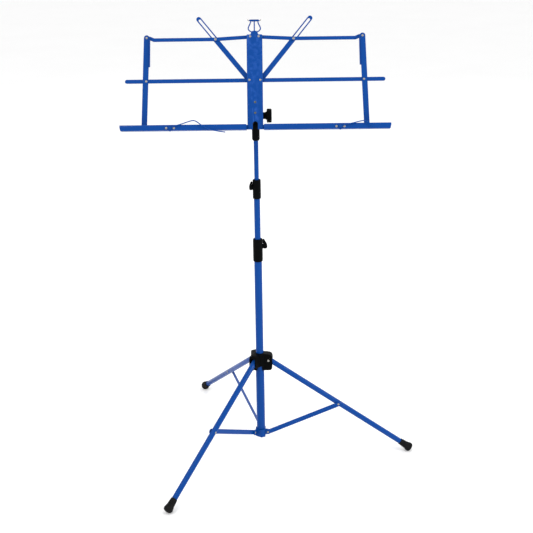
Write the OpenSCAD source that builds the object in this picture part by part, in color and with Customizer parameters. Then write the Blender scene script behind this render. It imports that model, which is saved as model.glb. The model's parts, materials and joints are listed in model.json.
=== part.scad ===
// Folding music stand: three-section column on a sliding-hub tripod,
// with a folding lattice desk that tilts on a clamped neck.
// The column axis is the Z axis, the floor is z = 0, and the desk faces -Y.

/* [Column] */
// Outer diameter of the lower tube
lower_d = 15; // [14.8:0.1:15.2]
// Outer diameter of the middle tube
mid_d = 11.6; // [11.4:0.1:11.8]
// Outer diameter of the top tube
top_d = 8.6; // [8.4:0.1:8.8]
// Wall thickness of the tubes
tube_wall = 0.9; // [0.8:0.05:1]
// Height of the lower collar's bottom edge
lower_collar_z = 404; // [396:1:408]
// Height of the upper collar's bottom edge
upper_collar_z = 530; // [526:1:534]
// Height of the neck's bottom edge
neck_z = 643; // [642:0.5:645]

/* [Tripod] */
// Compass angle of the first leg, counted from +X
first_leg_angle = -124; // [-140:1:-100]
// Distance from the column axis to the middle of a foot
foot_reach = 298.6; // [297:0.1:300]
// Height at which a leg's centre line would meet the column axis
leg_root_z = 208; // [207.5:0.1:208.5]
// Distance from the column axis to a leg's hinge pin
leg_pin_r = 17.6; // [17.5:0.1:18]
// Outer diameter of a leg tube
leg_d = 10.8; // [10.6:0.1:10.9]
// Width of a stretcher strip
stretcher_w = 9.8; // [9.2:0.1:10]

/* [Desk] */
// Lean of the desk back from the vertical
desk_tilt = 17; // [10:1:30]
// Height of the tilt axis
tilt_axis_z = 689.5; // [689:0.1:691]
// Length of one tray from its pivot to its tip
tray_len = 236.4; // [234:0.2:240]
// Height of the centre plate
plate_h = 173; // [172:0.5:174]
// Width of the centre plate
plate_w = 29; // [28.6:0.1:29.4]
// Height of the middle arms' pivots above the trays' pivots
mid_h = 86; // [85.5:0.1:86.5]
// Height of the top arms' pivots above the trays' pivots
top_h = 165; // [164.5:0.1:165.5]
// Distance from an arm's pivot on the plate to its pivot on the side bar
arm_len = 190; // [189:0.1:191]
// Width of a middle arm
mid_arm_w = 7.3; // [6.8:0.1:7.6]
// Width of a top arm
top_arm_w = 6.6; // [6.2:0.1:7]
// Width of a side bar
side_bar_w = 10.4; // [10:0.1:10.8]
// Width of a diagonal brace
brace_w = 9.2; // [9:0.1:9.6]

/* [Hidden] */

$fn = 64;
gap = 0.3;            // play between flat faces that pass each other
fit = 0.06;           // radial play of a running fit
small = 0.02;         // play between pieces that are fixed to each other

blue = [0.12, 0.34, 0.72];
black = [0.05, 0.05, 0.055];
steel = [0.75, 0.75, 0.76];

// Column
lower_r = lower_d / 2;
mid_r = mid_d / 2;
top_r = top_d / 2;
lower_bore_r = lower_r - tube_wall;
mid_bore_r = mid_r - tube_wall;
lower_tube_z = 27;
lower_collar_h = 46;
lower_collar_r = 9.4;
upper_collar_h = 38;
upper_collar_r = 7.8;
lower_tube_top = lower_collar_z + 22;
mid_tube_len = 410;
mid_tube_top = upper_collar_z + 14;
mid_tube_z = mid_tube_top - mid_tube_len;
top_tube_len = 395;
top_tube_top = neck_z + 19;
top_tube_z = top_tube_top - top_tube_len;
glide_h = 14;
sleeve_r = lower_r + 0.95;
sleeve_top = 183.5;

// Tripod
leg_angles = [first_leg_angle, first_leg_angle + 120, first_leg_angle + 240];
foot_z = 9;
leg_slope = atan2(leg_root_z - foot_z, foot_reach);
leg_pin_z = leg_root_z - leg_pin_r * tan(leg_slope);
leg_pin_d = 4;
leg_len = (foot_reach - leg_pin_r) / cos(leg_slope);
stretcher_pin_d = 3.2;
stretcher_share = 0.5285;
leg_joint_r = foot_reach * stretcher_share;
leg_joint_z = leg_root_z - leg_joint_r * tan(leg_slope);
base_joint_r = 14.6;
base_joint_z = 36;
stretcher_len = norm([leg_joint_r - base_joint_r, leg_joint_z - base_joint_z]);
stretcher_rise = atan2(leg_joint_z - base_joint_z, leg_joint_r - base_joint_r);
stretcher_t = 1.5;
stretcher_off = leg_d / 2 + gap;
bracket_lug_t = 2.2;

// Desk, in its own frame: X across, Z up the slope, Y towards the back, and the
// front of the centre plate at Y = 0
sheet_t = 1.2;
arm_t = 1.7;
tray_y = 3.5;
bar_y = 5;
arm_y = 7;
brace_y = 9;
tilt_axis_y = 18;
tilt_axis_h = 22;
upper_lean = 1.6;     // lean of the pivot rows towards the middle above mid_h, and below it
lower_lean = 0.8;
mid_x = 10;
top_x = mid_x - (top_h - mid_h) * tan(upper_lean);
tray_x = mid_x + mid_h * tan(lower_lean);
pivot_r = 1.6;
arm_over = 39.5;
plate_z = -4.5;
top_arm_drop = 3.6;
brace_pin_x = 64;
brace_pin_r = 1.2;
brace_foot = [brace_pin_x + top_x - mid_x, top_h - mid_h - top_arm_drop];
brace_rise = atan2(brace_foot[1], brace_foot[0]);
slot_start = norm(brace_foot);
slot_end = 142;
slot_r = 2.35;
brace_tip = 149.8;
ledge_front = -18;
ledge_z = -6.2;
lip_h = 10.6;
tray_inner = 16;
clip_x = 155;
clip_z = -1.6;
wire_d = 1.9;

module on_leg(angle) {
    rotate([0, 0, angle]) children();
}

// A leg's own frame: X out along the leg from its hinge pin, Y across it
module along_leg(angle) {
    on_leg(angle) translate([leg_pin_r, 0, leg_pin_z]) rotate([0, leg_slope, 0]) children();
}

// A stretcher's own frame: X out along the strip, Y across it
module along_stretcher(angle) {
    on_leg(angle) translate([base_joint_r, 0, base_joint_z]) rotate([0, -stretcher_rise, 0]) children();
}

module on_desk() {
    translate([0, 0, tilt_axis_z]) rotate([-desk_tilt, 0, 0])
        translate([0, -tilt_axis_y, -tilt_axis_h]) children();
}

// side is 1 for the right half of the desk and -1 for the left half
module on_side(side) {
    on_desk() mirror([side < 0 ? 1 : 0, 0, 0]) children();
}

// A cylinder that runs back along Y from y0 to y1
module cross_pin(r, y0, y1) {
    translate([0, y0, 0]) rotate([-90, 0, 0]) cylinder(r = r, h = y1 - y0);
}

// A domed rivet head that sits on the plane y and bulges towards -Y (dir -1) or +Y (dir 1)
module rivet_head(r, rise, y, dir) {
    translate([0, y, 0]) rotate([dir < 0 ? 90 : -90, 0, 0]) rotate_extrude()
        intersection() {
            translate([0, rise - r * 1.25]) circle(r = r * 1.25);
            square([r, rise]);
        }
}

module tube(outer_r, inner_r, z, h) {
    translate([0, 0, z]) difference() {
        cylinder(r = outer_r, h = h);
        translate([0, 0, -1]) cylinder(r = inner_r, h = h + 2);
    }
}

// Outline of a strip through the given points, with ends and corners a hair wider than
// its straight runs
module strip_outline(points, w) {
    for (i = [0 : len(points) - 2]) {
        step = points[i + 1] - points[i];
        flat_w = w - 0.06;
        translate(points[i]) {
            circle(d = w);
            rotate(atan2(step[1], step[0])) translate([0, -flat_w / 2]) square([norm(step), flat_w]);
        }
        translate(points[i + 1]) circle(d = w);
    }
}

// Stands an outline up in the X-Z plane, from y to y + t
module upright_plate(y, t) {
    translate([0, y + t, 0]) rotate([90, 0, 0]) linear_extrude(t) children();
}

module strip(points, w, y, t) {
    upright_plate(y, t) strip_outline(points, w);
}

// ---------------------------------------------------------------- base

module lower_tube() {
    color(blue) tube(lower_r, lower_bore_r, lower_tube_z, lower_tube_top - lower_tube_z);
}

module base_sleeve() {
    sleeve_z = base_joint_z + 6.4;
    color(blue) tube(sleeve_r, lower_r + small, sleeve_z, sleeve_top - sleeve_z);
}

module tube_end_plug() {
    color(black) {
        translate([0, 0, lower_tube_z - 1]) cylinder(r = lower_bore_r - small, h = 11);
        translate([0, 0, lower_tube_z - 1.4]) cylinder(r1 = lower_r - 0.8, r2 = lower_r, h = 1.4 - small);
    }
}

// Six-sided ring around the tube's foot with one lug for each stretcher; the narrow
// faces look along the stretchers
module base_bracket() {
    ring_z = base_joint_z - 11;
    ring_h = 17;
    narrow_face = 9.3;
    corner = 7.3;
    color(blue) difference() {
        union() {
            translate([0, 0, ring_z]) linear_extrude(ring_h) polygon([for (a = leg_angles, s = [-1, 1])
                [narrow_face * cos(a) - s * corner * sin(a), narrow_face * sin(a) + s * corner * cos(a)]]);
            for (a = leg_angles) on_leg(a) {
                translate([0, -stretcher_off + gap, 0]) bracket_lug();
            }
        }
        translate([0, 0, ring_z - 1]) cylinder(r = lower_r + small, h = ring_h + 2);
        for (a = leg_angles) on_leg(a) translate([base_joint_r, 0, base_joint_z])
            cross_pin(stretcher_pin_d / 2 + small, -stretcher_off - 1, 0);
    }
}

// A lug plate with a round outer end, from the ring out to the stretcher's pivot
module bracket_lug() {
    translate([0, bracket_lug_t, 0]) rotate([90, 0, 0]) linear_extrude(bracket_lug_t) {
        translate([lower_r, base_joint_z - 6]) square([base_joint_r - lower_r, 12]);
        translate([base_joint_r, base_joint_z]) circle(r = 6);
    }
}

module bracket_rivets() {
    color(steel) for (a = leg_angles) on_leg(a) translate([base_joint_r, 0, base_joint_z]) {
        cross_pin(stretcher_pin_d / 2, -stretcher_off - stretcher_t - gap,
            -stretcher_off + gap + bracket_lug_t + small);
        rivet_head(2.3, 0.9, -stretcher_off - stretcher_t - gap, -1);
        rivet_head(2.3, 0.7, -stretcher_off + gap + bracket_lug_t + small, 1);
    }
}

// ---------------------------------------------------------------- hub and legs

hub_barrel_r = 11.8;
hub_z = sleeve_top + 0.02;
hub_top = 211;
cheek_in = leg_d / 2 + gap;
cheek_t = 2.8;
cheek_out = 25.5;
leg_pin_end = 2;
cheek_low = 174.5;
short_cheek_low = 184;
cheek_corner = 6;
cheek_start = lower_r + 1.5;

module leg_hub() {
    color(black) difference() {
        union() {
            translate([0, 0, hub_z]) rotate_extrude() hull_profile();
            for (a = leg_angles, s = [-1, 1]) on_leg(a) cheek(s);
            for (a = leg_angles) on_leg(a) translate([cheek_start, -cheek_in, hub_top - 6.5])
                cube([cheek_out - cheek_start - 2, 2 * cheek_in, 5]);
        }
        translate([0, 0, hub_z - 20]) cylinder(r = lower_r + fit, h = 60);
        for (a = leg_angles) on_leg(a) translate([leg_pin_r, 0, leg_pin_z])
            cross_pin(leg_pin_d / 2 + small, -20, cheek_in + leg_pin_end + small);
    }
}

// Barrel outline with a soft top edge
module hull_profile() {
    h = hub_top - hub_z;
    edge = 3;
    square([hub_barrel_r, h - edge]);
    square([hub_barrel_r - edge, h]);
    translate([hub_barrel_r - edge, h - edge]) circle(r = edge);
}

// One of the two walls beside a leg's root, with round outer corners; the wall on the
// pin head's side hangs lower than the other
module cheek(s) {
    y0 = s > 0 ? cheek_in : -cheek_in - cheek_t;
    low = s > 0 ? short_cheek_low : cheek_low;
    top = hub_top - 1;
    r = cheek_corner;
    translate([0, y0 + cheek_t, 0]) rotate([90, 0, 0]) linear_extrude(cheek_t) {
        translate([cheek_start, low]) square([cheek_out - r - cheek_start, top - low]);
        translate([cheek_start, low + r]) square([cheek_out - cheek_start, top - low - 2 * r]);
        for (z = [low + r, top - r]) translate([cheek_out - r, z]) circle(r = r);
    }
}

// A leg's pin: a headed pin that ends inside the hub's shorter wall
module hub_leg_pins() {
    color(steel) for (a = leg_angles) on_leg(a) translate([leg_pin_r, 0, leg_pin_z]) {
        head_y = -cheek_in - cheek_t - small;
        cross_pin(leg_pin_d / 2, head_y, cheek_in + leg_pin_end);
        rivet_head(2.6, 1, head_y, -1);
    }
}

module leg(angle) {
    color(blue) along_leg(angle) difference() {
        union() {
            rotate([0, 90, 0]) cylinder(d = leg_d, h = leg_len - 6);
            intersection() {
                rotate([0, 90, 0]) cylinder(d = leg_d, h = leg_d, center = true);
                cross_pin(leg_d / 2, -leg_d, leg_d);
            }
        }
        translate([leg_d, 0, 0]) rotate([0, 90, 0]) cylinder(r = leg_d / 2 - tube_wall, h = leg_len);
        cross_pin(leg_pin_d / 2 + fit, -leg_d, leg_d);
    }
}

// Rubber cap that flares towards the floor and is worn flat where it rests
module foot(angle) {
    cap_len = 27;
    socket = 13.1;
    tip_r = 4.6;
    tip_in = 4.4;
    color(black) intersection() {
        along_leg(angle) translate([leg_len - 19, 0, 0]) rotate([0, 90, 0]) rotate_extrude()
            difference() {
                polygon(concat([[0, 0], [6.4, 0], [6.8, 1.2], [7.3, 12]],
                    [for (t = [0 : 10 : 90]) [tip_in + tip_r * cos(t), cap_len - tip_r + tip_r * sin(t)]],
                    [[0, cap_len]]));
                square([leg_d / 2 + small, socket]);
            }
        translate([-500, -500, 0]) cube([1000, 1000, 100]);
    }
}

module stretcher(angle) {
    color(blue) along_stretcher(angle) difference() {
        strip([[0, 0], [stretcher_len, 0]], stretcher_w, -stretcher_off - stretcher_t, stretcher_t);
        cross_pin(stretcher_pin_d / 2 + fit, -20, 20);
        translate([stretcher_len, 0, 0]) cross_pin(stretcher_pin_d / 2, -20, 20);
    }
}

module stretcher_rivet(angle) {
    color(steel) along_stretcher(angle) translate([stretcher_len, 0, 0]) {
        cross_pin(stretcher_pin_d / 2 - small, -stretcher_off - stretcher_t - small, -stretcher_off);
        rivet_head(2.3, 0.9, -stretcher_off - stretcher_t - small, -1);
    }
}

// ---------------------------------------------------------------- column clamps

// Body of a tube clamp: a sleeve that grips one tube's end and guides the next tube,
// with a round boss for its thumb screw
module clamp_body(r, z, h, tube_r, tube_top, inner_r, screw_angle, screw_z) {
    edge = 1.6;
    color(black) difference() {
        union() {
            translate([0, 0, z]) rotate_extrude() {
                square([r - edge, h]);
                translate([0, edge]) square([r, h - 2 * edge]);
                translate([r - edge, edge]) circle(r = edge);
                translate([r - edge, h - edge]) circle(r = edge);
            }
            rotate([0, 0, screw_angle]) translate([0, 0, screw_z]) rotate([0, 90, 0])
                cylinder(r = boss_r, h = r + boss_rise);
        }
        translate([0, 0, z - 1]) cylinder(r = tube_r + small, h = tube_top - z + 1);
        translate([0, 0, tube_top - 1]) cylinder(r = inner_r + fit, h = z + h - tube_top + 2);
        rotate([0, 0, screw_angle]) translate([0, 0, screw_z]) rotate([0, 90, 0])
            cylinder(r = screw_r + fit, h = r + boss_rise + 1);
    }
}

// Thumb screw: a shank that presses on the inner tube, a round head, and a wing that
// points up and thins towards its tip
module thumb_screw(r, inner_r, screw_angle, screw_z, grip_h, wing_up) {
    grip_x = r + boss_rise + gap;
    edge = 1.5;
    color(black) rotate([0, 0, screw_angle]) translate([0, 0, screw_z]) {
        rotate([0, 90, 0]) {
            translate([0, 0, inner_r + fit + small]) cylinder(r = screw_r, h = grip_x - inner_r);
            translate([0, 0, grip_x]) rotate_extrude() {
                square([grip_r - edge, grip_h]);
                square([grip_r, grip_h - edge]);
                translate([grip_r - edge, grip_h - edge]) circle(r = edge);
            }
        }
        translate([0, wing_t / 2, 0]) rotate([90, 0, 0]) linear_extrude(wing_t)
            polygon([[grip_x, 0], [grip_x, wing_up], [grip_x + 1.2, wing_up], [grip_x + 2.4, wing_up - 2],
                [grip_x + grip_h - 0.7, grip_r - 2.4], [grip_x + grip_h - 0.4, 0]]);
    }
}

screw_r = 2.4;
boss_r = 4.8;
boss_rise = 1.2;
grip_r = 5.4;
wing_t = 5;
lower_screw_angle = 12;
upper_screw_angle = 192;
lower_screw_z = lower_tube_top + 8;
upper_screw_z = mid_tube_top + 8.5;

module lower_collar() {
    clamp_body(lower_collar_r, lower_collar_z, lower_collar_h, lower_r, lower_tube_top, mid_r,
        lower_screw_angle, lower_screw_z);
}

module upper_collar() {
    clamp_body(upper_collar_r, upper_collar_z, upper_collar_h, mid_r, mid_tube_top, top_r,
        upper_screw_angle, upper_screw_z);
}

module lower_screw() {
    thumb_screw(lower_collar_r, mid_r, lower_screw_angle, lower_screw_z, 6.6, 14.5);
}

module upper_screw() {
    thumb_screw(upper_collar_r, top_r, upper_screw_angle, upper_screw_z, 4.4, 12);
}

module mid_tube() {
    color(blue) tube(mid_r, mid_bore_r, mid_tube_z, mid_tube_len);
}

module top_tube() {
    color(blue) tube(top_r, top_r - tube_wall, top_tube_z, top_tube_len);
}

// Plastic bush on a sliding tube's lower end, which runs in the next tube's bore
module glide(outer_r, tube_r, tube_z) {
    color(black) difference() {
        translate([0, 0, tube_z - 2]) cylinder(r = outer_r - fit, h = glide_h);
        translate([0, 0, tube_z]) cylinder(r = tube_r + small, h = glide_h);
        translate([0, 0, tube_z - 3]) cylinder(r = tube_r - 2, h = glide_h);
    }
}

module mid_tube_glide() {
    glide(lower_bore_r, mid_r, mid_tube_z);
}

module top_tube_glide() {
    glide(mid_bore_r, top_r, top_tube_z);
}

// ---------------------------------------------------------------- neck and tilt

neck_r = 7.2;
neck_h = 33;
tongue_w = 8.4;
tongue_r = 8;
cheek_gap = 0.2;
tilt_cheek_t = 1.6;
bolt_r = 2.5;
tilt_cheek_x = tongue_w / 2 + cheek_gap;
tilt_cheek_out = tilt_cheek_x + tilt_cheek_t;
web_y = sheet_t + small;
web_t = 1.6;
tilt_grip_r = 12.8;

// Collar on the top tube that carries a flat tongue for the tilt bolt
module tilt_neck() {
    tongue_z = neck_z + neck_h - 1;
    color(black) difference() {
        union() {
            translate([0, 0, neck_z]) rotate_extrude()
                polygon([[0, 0], [neck_r - 1.4, 0], [neck_r, 3], [neck_r, neck_h - 2],
                    [neck_r - 1.6, neck_h], [0, neck_h]]);
            translate([-tongue_w / 2, -5, tongue_z]) cube([tongue_w, 10, tilt_axis_z - tongue_z]);
            translate([0, 0, tilt_axis_z]) rotate([0, 90, 0])
                cylinder(r = tongue_r, h = tongue_w, center = true);
        }
        translate([0, 0, neck_z - 1]) cylinder(r = top_r + fit, h = top_tube_top + small - neck_z + 1);
        translate([0, 0, tilt_axis_z]) rotate([0, 90, 0])
            cylinder(r = bolt_r + fit, h = 30, center = true);
    }
}

// Sheet-steel channel on the back of the plate: a web with two cheeks beside the tongue
module tilt_bracket() {
    web_h = 40;
    web_low = 15;
    color(blue) on_desk() difference() {
        union() {
            translate([-tilt_cheek_out, web_y, web_low]) cube([2 * tilt_cheek_out, web_t, web_h]);
            for (s = [-1, 1]) translate([s > 0 ? tilt_cheek_x : -tilt_cheek_out, 0, 0]) tilt_cheek(web_low);
        }
        translate([0, tilt_axis_y, tilt_axis_h]) rotate([0, 90, 0])
            cylinder(r = bolt_r + fit, h = 30, center = true);
        for (h = bracket_rivet_h) translate([0, 0, h]) cross_pin(bracket_rivet_r + small, 0, 9);
    }
}

bracket_rivet_h = [26, 45.5];
bracket_rivet_r = 1.6;

// A cheek from the web back to a round end about the tilt axis
module tilt_cheek(web_low) {
    end_r = 7.5;
    rotate([90, 0, 90]) linear_extrude(tilt_cheek_t) {
        translate([tilt_axis_y, tilt_axis_h]) circle(r = end_r);
        translate([web_y, web_low]) square([tilt_axis_y - web_y, tilt_axis_h + end_r - web_low]);
        polygon([[web_y, web_low], [web_y + web_t, web_low], [web_y + web_t + 5, 52], [web_y, 55]]);
    }
}

module bracket_plate_rivets() {
    color(steel) on_desk() for (h = bracket_rivet_h) translate([0, 0, h]) {
        cross_pin(bracket_rivet_r, -small, web_y + web_t + small);
        rivet_head(2.2, 0.8, -small, -1);
        rivet_head(2.4, 0.7, web_y + web_t + small, 1);
    }
}

// Bolt through both cheeks and the tongue, with a flat head on the left
module tilt_bolt() {
    head_t = 2.6;
    shank_end = tilt_cheek_out + 12;
    color(steel) translate([0, 0, tilt_axis_z]) rotate([0, 90, 0]) {
        translate([0, 0, -tilt_cheek_out - small]) cylinder(r = bolt_r, h = shank_end + tilt_cheek_out);
        translate([0, 0, -tilt_cheek_out - small - head_t]) cylinder(r = 5.2, h = head_t, $fn = 6);
    }
}

// Clamping knob on the bolt: a round boss and a wide knurled grip
module tilt_knob() {
    boss_start = tilt_cheek_out + 1;
    grip_start = 20.8;
    grip_t = 9.2;
    notches = 24;
    color(black) translate([0, 0, tilt_axis_z]) rotate([0, 90, 0]) difference() {
        union() {
            translate([0, 0, boss_start]) cylinder(r = 6.4, h = grip_start - boss_start);
            translate([0, 0, grip_start]) rotate_extrude()
                polygon([[0, 0], [tilt_grip_r - 0.8, 0], [tilt_grip_r, 0.8], [tilt_grip_r, grip_t - 1.2],
                    [tilt_grip_r - 1.2, grip_t], [0, grip_t]]);
        }
        translate([0, 0, boss_start - 1]) cylinder(r = bolt_r + fit, h = 14);
        for (i = [0 : notches - 1]) rotate([0, 0, 360 * i / notches])
            translate([tilt_grip_r + 0.5, 0, grip_start - 1]) cylinder(r = 1, h = grip_t + 2, $fn = 16);
    }
}

// ---------------------------------------------------------------- centre plate

pivots = [[tray_x, 0], [mid_x, mid_h], [top_x, top_h]];
flange_depth = 3;
neck_notch_r = 4.8;
neck_notch_h = 10.5;

module centre_plate() {
    half = plate_w / 2;
    edge_r = 1.1;
    color(blue) on_desk() difference() {
        translate([0, 0, plate_z]) linear_extrude(plate_h) {
            translate([-half + edge_r, 0]) square([plate_w - 2 * edge_r, sheet_t]);
            for (s = [-1, 1]) translate([s * (half - edge_r), 0]) {
                translate([0, edge_r]) intersection() {
                    circle(r = edge_r);
                    translate([s > 0 ? 0 : -edge_r, -edge_r]) square(edge_r);
                }
                translate([s > 0 ? 0 : -edge_r, edge_r]) square([edge_r, flange_depth - edge_r]);
            }
        }
        for (s = [-1, 1], p = pivots) translate([s * p[0], 0, p[1]])
            cross_pin(pivot_r + small, -1, sheet_t + 1);
        for (h = bracket_rivet_h) translate([0, 0, h]) cross_pin(bracket_rivet_r + small, -1, sheet_t + 1);
        translate([0, 0, neck_notch_h - neck_notch_r]) cross_pin(neck_notch_r, -1, 5);
        translate([-neck_notch_r, -1, plate_z - 1])
            cube([2 * neck_notch_r, 6, neck_notch_h - neck_notch_r - plate_z + 1]);
        for (s = [-1, 1]) translate([s * half, flange_depth, plate_z + plate_h]) rotate([0, 45, 0])
            cube([3, 8, 3], center = true);
    }
}

// Shouldered rivets that hang the trays, arms and braces behind the plate
module plate_pivot_rivets() {
    ends = [tray_y + sheet_t, brace_y + arm_t, arm_y + arm_t];
    seats = [tray_y, arm_y, arm_y];
    color(steel) for (s = [-1, 1], i = [0 : 2]) on_side(s) translate([pivots[i][0], 0, pivots[i][1]]) {
        rivet_head(2.2, 0.9, -small, -1);
        cross_pin(pivot_r, -small, ends[i] + gap);
        cross_pin(2.1, sheet_t + small, seats[i] - gap / 2);
        rivet_head(2.7, 0.9, ends[i] + gap, 1);
    }
}

// Lyre: a foot on the plate's top edge, a centre post and two curved arms up to a crossbar
lyre_y = 0.6;
lyre_wire = 2.2;
lyre_h = 23;
lyre_foot = plate_z + plate_h + small;
lyre_top = lyre_foot + lyre_h;

module lyre_frame() {
    arm_points = [[1.8, 4.2], [5.6, 4.8], [9.2, 6.8], [11.1, 10.2], [10.2, 14.2], [8, 18.6],
        [6.7, lyre_h - lyre_wire / 2 - small]];
    color(blue) on_desk() translate([0, lyre_y, lyre_foot]) {
        translate([0, 0.8, 0]) rotate([90, 0, 0]) linear_extrude(1.6)
            polygon([[-7.4, 0], [7.4, 0], [6.2, 2.6], [6, 4.4], [3.6, 6.2], [1.4, 7], [-1.4, 7],
                [-3.6, 6.2], [-6, 4.4], [-6.2, 2.6]]);
        translate([0, 0, 6.2]) cylinder(d = lyre_wire, h = lyre_h - 6.2 - small, $fn = 24);
        for (s = [-1, 1]) mirror([s < 0 ? 1 : 0, 0, 0])
            strip(arm_points, lyre_wire, -lyre_wire / 2, lyre_wire);
    }
}

// Crossbar: a closely wound coil on a rod whose ends curl up
module lyre_crossbar() {
    bar_r = 2.1;
    coil_r = 0.7;
    bar_half = 8.8;
    turns = 8;
    pitch = (2 * bar_half - 0.6) / turns;
    color(blue) on_desk() translate([0, lyre_y, lyre_top + bar_r + small]) {
        rotate([0, 90, 0]) rotate_extrude() {
            translate([0, -bar_half]) square([bar_r - coil_r + 0.15, 2 * bar_half]);
            for (i = [0 : turns - 1]) translate([bar_r - coil_r, pitch * (i - (turns - 1) / 2)])
                circle(r = coil_r, $fn = 24);
        }
        for (s = [-1, 1]) mirror([s < 0 ? 1 : 0, 0, 0])
            strip([[8.4, 0], [10.4, -0.4], [11.8, 0.5], [11.5, 1.9]], 1.4, -0.7, 1.4);
    }
}

// ---------------------------------------------------------------- folding lattice

// Tray: a pivoting back wall, a ledge and a front lip, folded from one strip
module tray() {
    tip = tray_x + tray_len;
    back_h = 11;
    color(blue) difference() {
        union() {
            strip([[tray_x, 0], [tray_x + 12, 0]], 2 * -ledge_z - 4, tray_y, sheet_t);
            translate([tray_inner, tray_y, ledge_z]) cube([tip - tray_inner, sheet_t, back_h]);
            translate([tray_inner, ledge_front, ledge_z])
                cube([tip - tray_inner, tray_y - ledge_front + sheet_t, sheet_t]);
            translate([tray_inner, ledge_front, ledge_z]) cube([tip - tray_inner, sheet_t, lip_h]);
        }
        translate([tray_x, 0, 0]) cross_pin(pivot_r + fit, 0, 9);
        translate([tray_x + arm_len, 0, 0]) cross_pin(pivot_r + fit, 0, 9);
        for (x = [-clip_rivet_x, clip_rivet_x]) translate([clip_x + x, 0, clip_z])
            cross_pin(clip_rivet_r + small, -30, -10);
        translate([tip + 1.2, 0, ledge_z]) rotate([0, 14, 0]) translate([0, -40, -30]) cube([10, 80, 60]);
    }
}

clip_rivet_r = 1.3;
clip_rivet_x = 7;
clip_rise = 0.8;
saddle_t = 1;
stud_r = 1.2;
stud_play = 0.15;
clip_front = ledge_front - small - saddle_t;
wire_y = clip_front - small - clip_rise - stud_play - wire_d / 2;

// Clip: a small plate riveted to the lip, with a lobe that hangs below the ledge and a
// shouldered stud on which the page holder's eye turns
module clip_saddle() {
    clip_w = 5.2;
    lobe_w = 4.6;
    eye_front = wire_y - wire_d / 2 - stud_play;
    color(blue) translate([clip_x, 0, clip_z]) difference() {
        union() {
            strip([[-clip_rivet_x, 0], [clip_rivet_x, 0]], clip_w, clip_front, saddle_t);
            strip([[0, 0], [0, -4]], lobe_w, clip_front, saddle_t);
            cross_pin(2.1, wire_y + wire_d / 2 + stud_play, clip_front + saddle_t / 2);
            cross_pin(stud_r, eye_front, clip_front + saddle_t / 2);
            rivet_head(2.3, 0.9, eye_front, -1);
        }
        for (x = [-clip_rivet_x, clip_rivet_x]) translate([x, 0, 0])
            cross_pin(clip_rivet_r + small, -30, -10);
    }
}

module clip_rivets() {
    color(steel) for (x = [-clip_rivet_x, clip_rivet_x]) translate([clip_x + x, 0, clip_z]) {
        cross_pin(clip_rivet_r, clip_front - small, ledge_front + sheet_t + small);
        rivet_head(2.2, clip_rise, clip_front - small, -1);
        rivet_head(2.2, 0.6, ledge_front + sheet_t + small, 1);
    }
}

holder_points = [[2.2, 0.9], [8, 3.4], [22, 7.4], [38, 12.4], [44, 12.8], [49, 10.8], [60, 3],
    [72, -3.2], [86, -7.4], [100, -10.2]];
right_holder_points = 7;
right_holder_turn = 4.7;

// Page holder: a bent wire arm with a flat eye that turns on the clip's stud
module page_holder(points) {
    color(blue) translate([clip_x, 0, clip_z]) difference() {
        union() {
            wire(points);
            cross_pin(2.9, wire_y - wire_d / 2, wire_y + wire_d / 2);
        }
        cross_pin(stud_r + fit, -30, -10);
    }
}

module page_holder_left() {
    on_side(1) translate([-2 * clip_x, 0, 0]) page_holder(holder_points);
}

// The right holder is shorter and lies a little lower
module page_holder_right() {
    points = [for (i = [0 : right_holder_points - 1]) holder_points[i]];
    on_side(1) translate([clip_x, 0, clip_z]) rotate([0, right_holder_turn, 0])
        translate([-clip_x, 0, -clip_z]) page_holder(points);
}

// A round wire through points in the plane y = wire_y, with slightly fuller ball-shaped corners
module wire(points) {
    for (i = [0 : len(points) - 2]) {
        step = points[i + 1] - points[i];
        translate([points[i][0], wire_y, points[i][1]]) {
            sphere(d = wire_d * 1.05, $fn = 24);
            rotate([0, 90 - atan2(step[1], step[0]), 0]) cylinder(d = wire_d, h = norm(step), $fn = 24);
        }
    }
    last = points[len(points) - 1];
    translate([last[0], wire_y, last[1]]) sphere(d = wire_d * 1.05, $fn = 24);
}

module mid_arm() {
    color(blue) translate([mid_x, 0, mid_h]) difference() {
        strip([[0, 0], [arm_len + arm_over - mid_arm_w / 2, 0]], mid_arm_w, arm_y, arm_t);
        cross_pin(pivot_r + fit, 0, 20);
        translate([arm_len, 0, 0]) cross_pin(pivot_r + fit, 0, 20);
    }
}

// Top arm, cranked down to the brace's pin and up again at the side bar
module top_arm() {
    drop = -top_arm_drop;
    color(blue) translate([top_x, 0, top_h]) difference() {
        strip([[0, 0], [brace_pin_x, drop], [arm_len - 13, drop], [arm_len - 6, -0.6], [arm_len, 0]],
            top_arm_w, arm_y, arm_t);
        cross_pin(pivot_r + fit, 0, 20);
        translate([arm_len, 0, 0]) cross_pin(pivot_r + fit, 0, 20);
        translate([brace_pin_x, 0, drop]) cross_pin(brace_pin_r + small, 0, 20);
    }
}

// Upright that joins the tips of a tray and its two arms. Its foot is set a little
// outside its pivot, and its upper part is wider on the inner side, with a folded edge.
module side_bar() {
    foot = [tray_x + arm_len, 0];
    head = [top_x + arm_len, top_h];
    foot_shift = [3.8, 0];
    foot_pad_d = 10;
    lean = atan2(foot[0] - head[0], head[1] - foot[1]);
    fold_h = 53;
    fold_inset = 0.1;
    inner_edge = side_bar_w / 2 + 1.4;
    color(blue) difference() {
        union() {
            upright_plate(bar_y, arm_t) {
                strip_outline([foot + foot_shift, head], side_bar_w);
                translate(foot) circle(d = foot_pad_d);
                translate(head) rotate(lean) translate([-inner_edge, -fold_h])
                    square([inner_edge, fold_h]);
            }
            translate([head[0], 0, head[1]]) rotate([0, -lean, 0])
                translate([fold_inset - inner_edge, bar_y - 3, fold_inset - fold_h])
                    cube([1.2, 3.5, fold_h - 2 * fold_inset]);
        }
        for (p = pivots) translate([p[0] + arm_len, 0, p[1]]) cross_pin(pivot_r + fit, 0, 20);
    }
}

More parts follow.
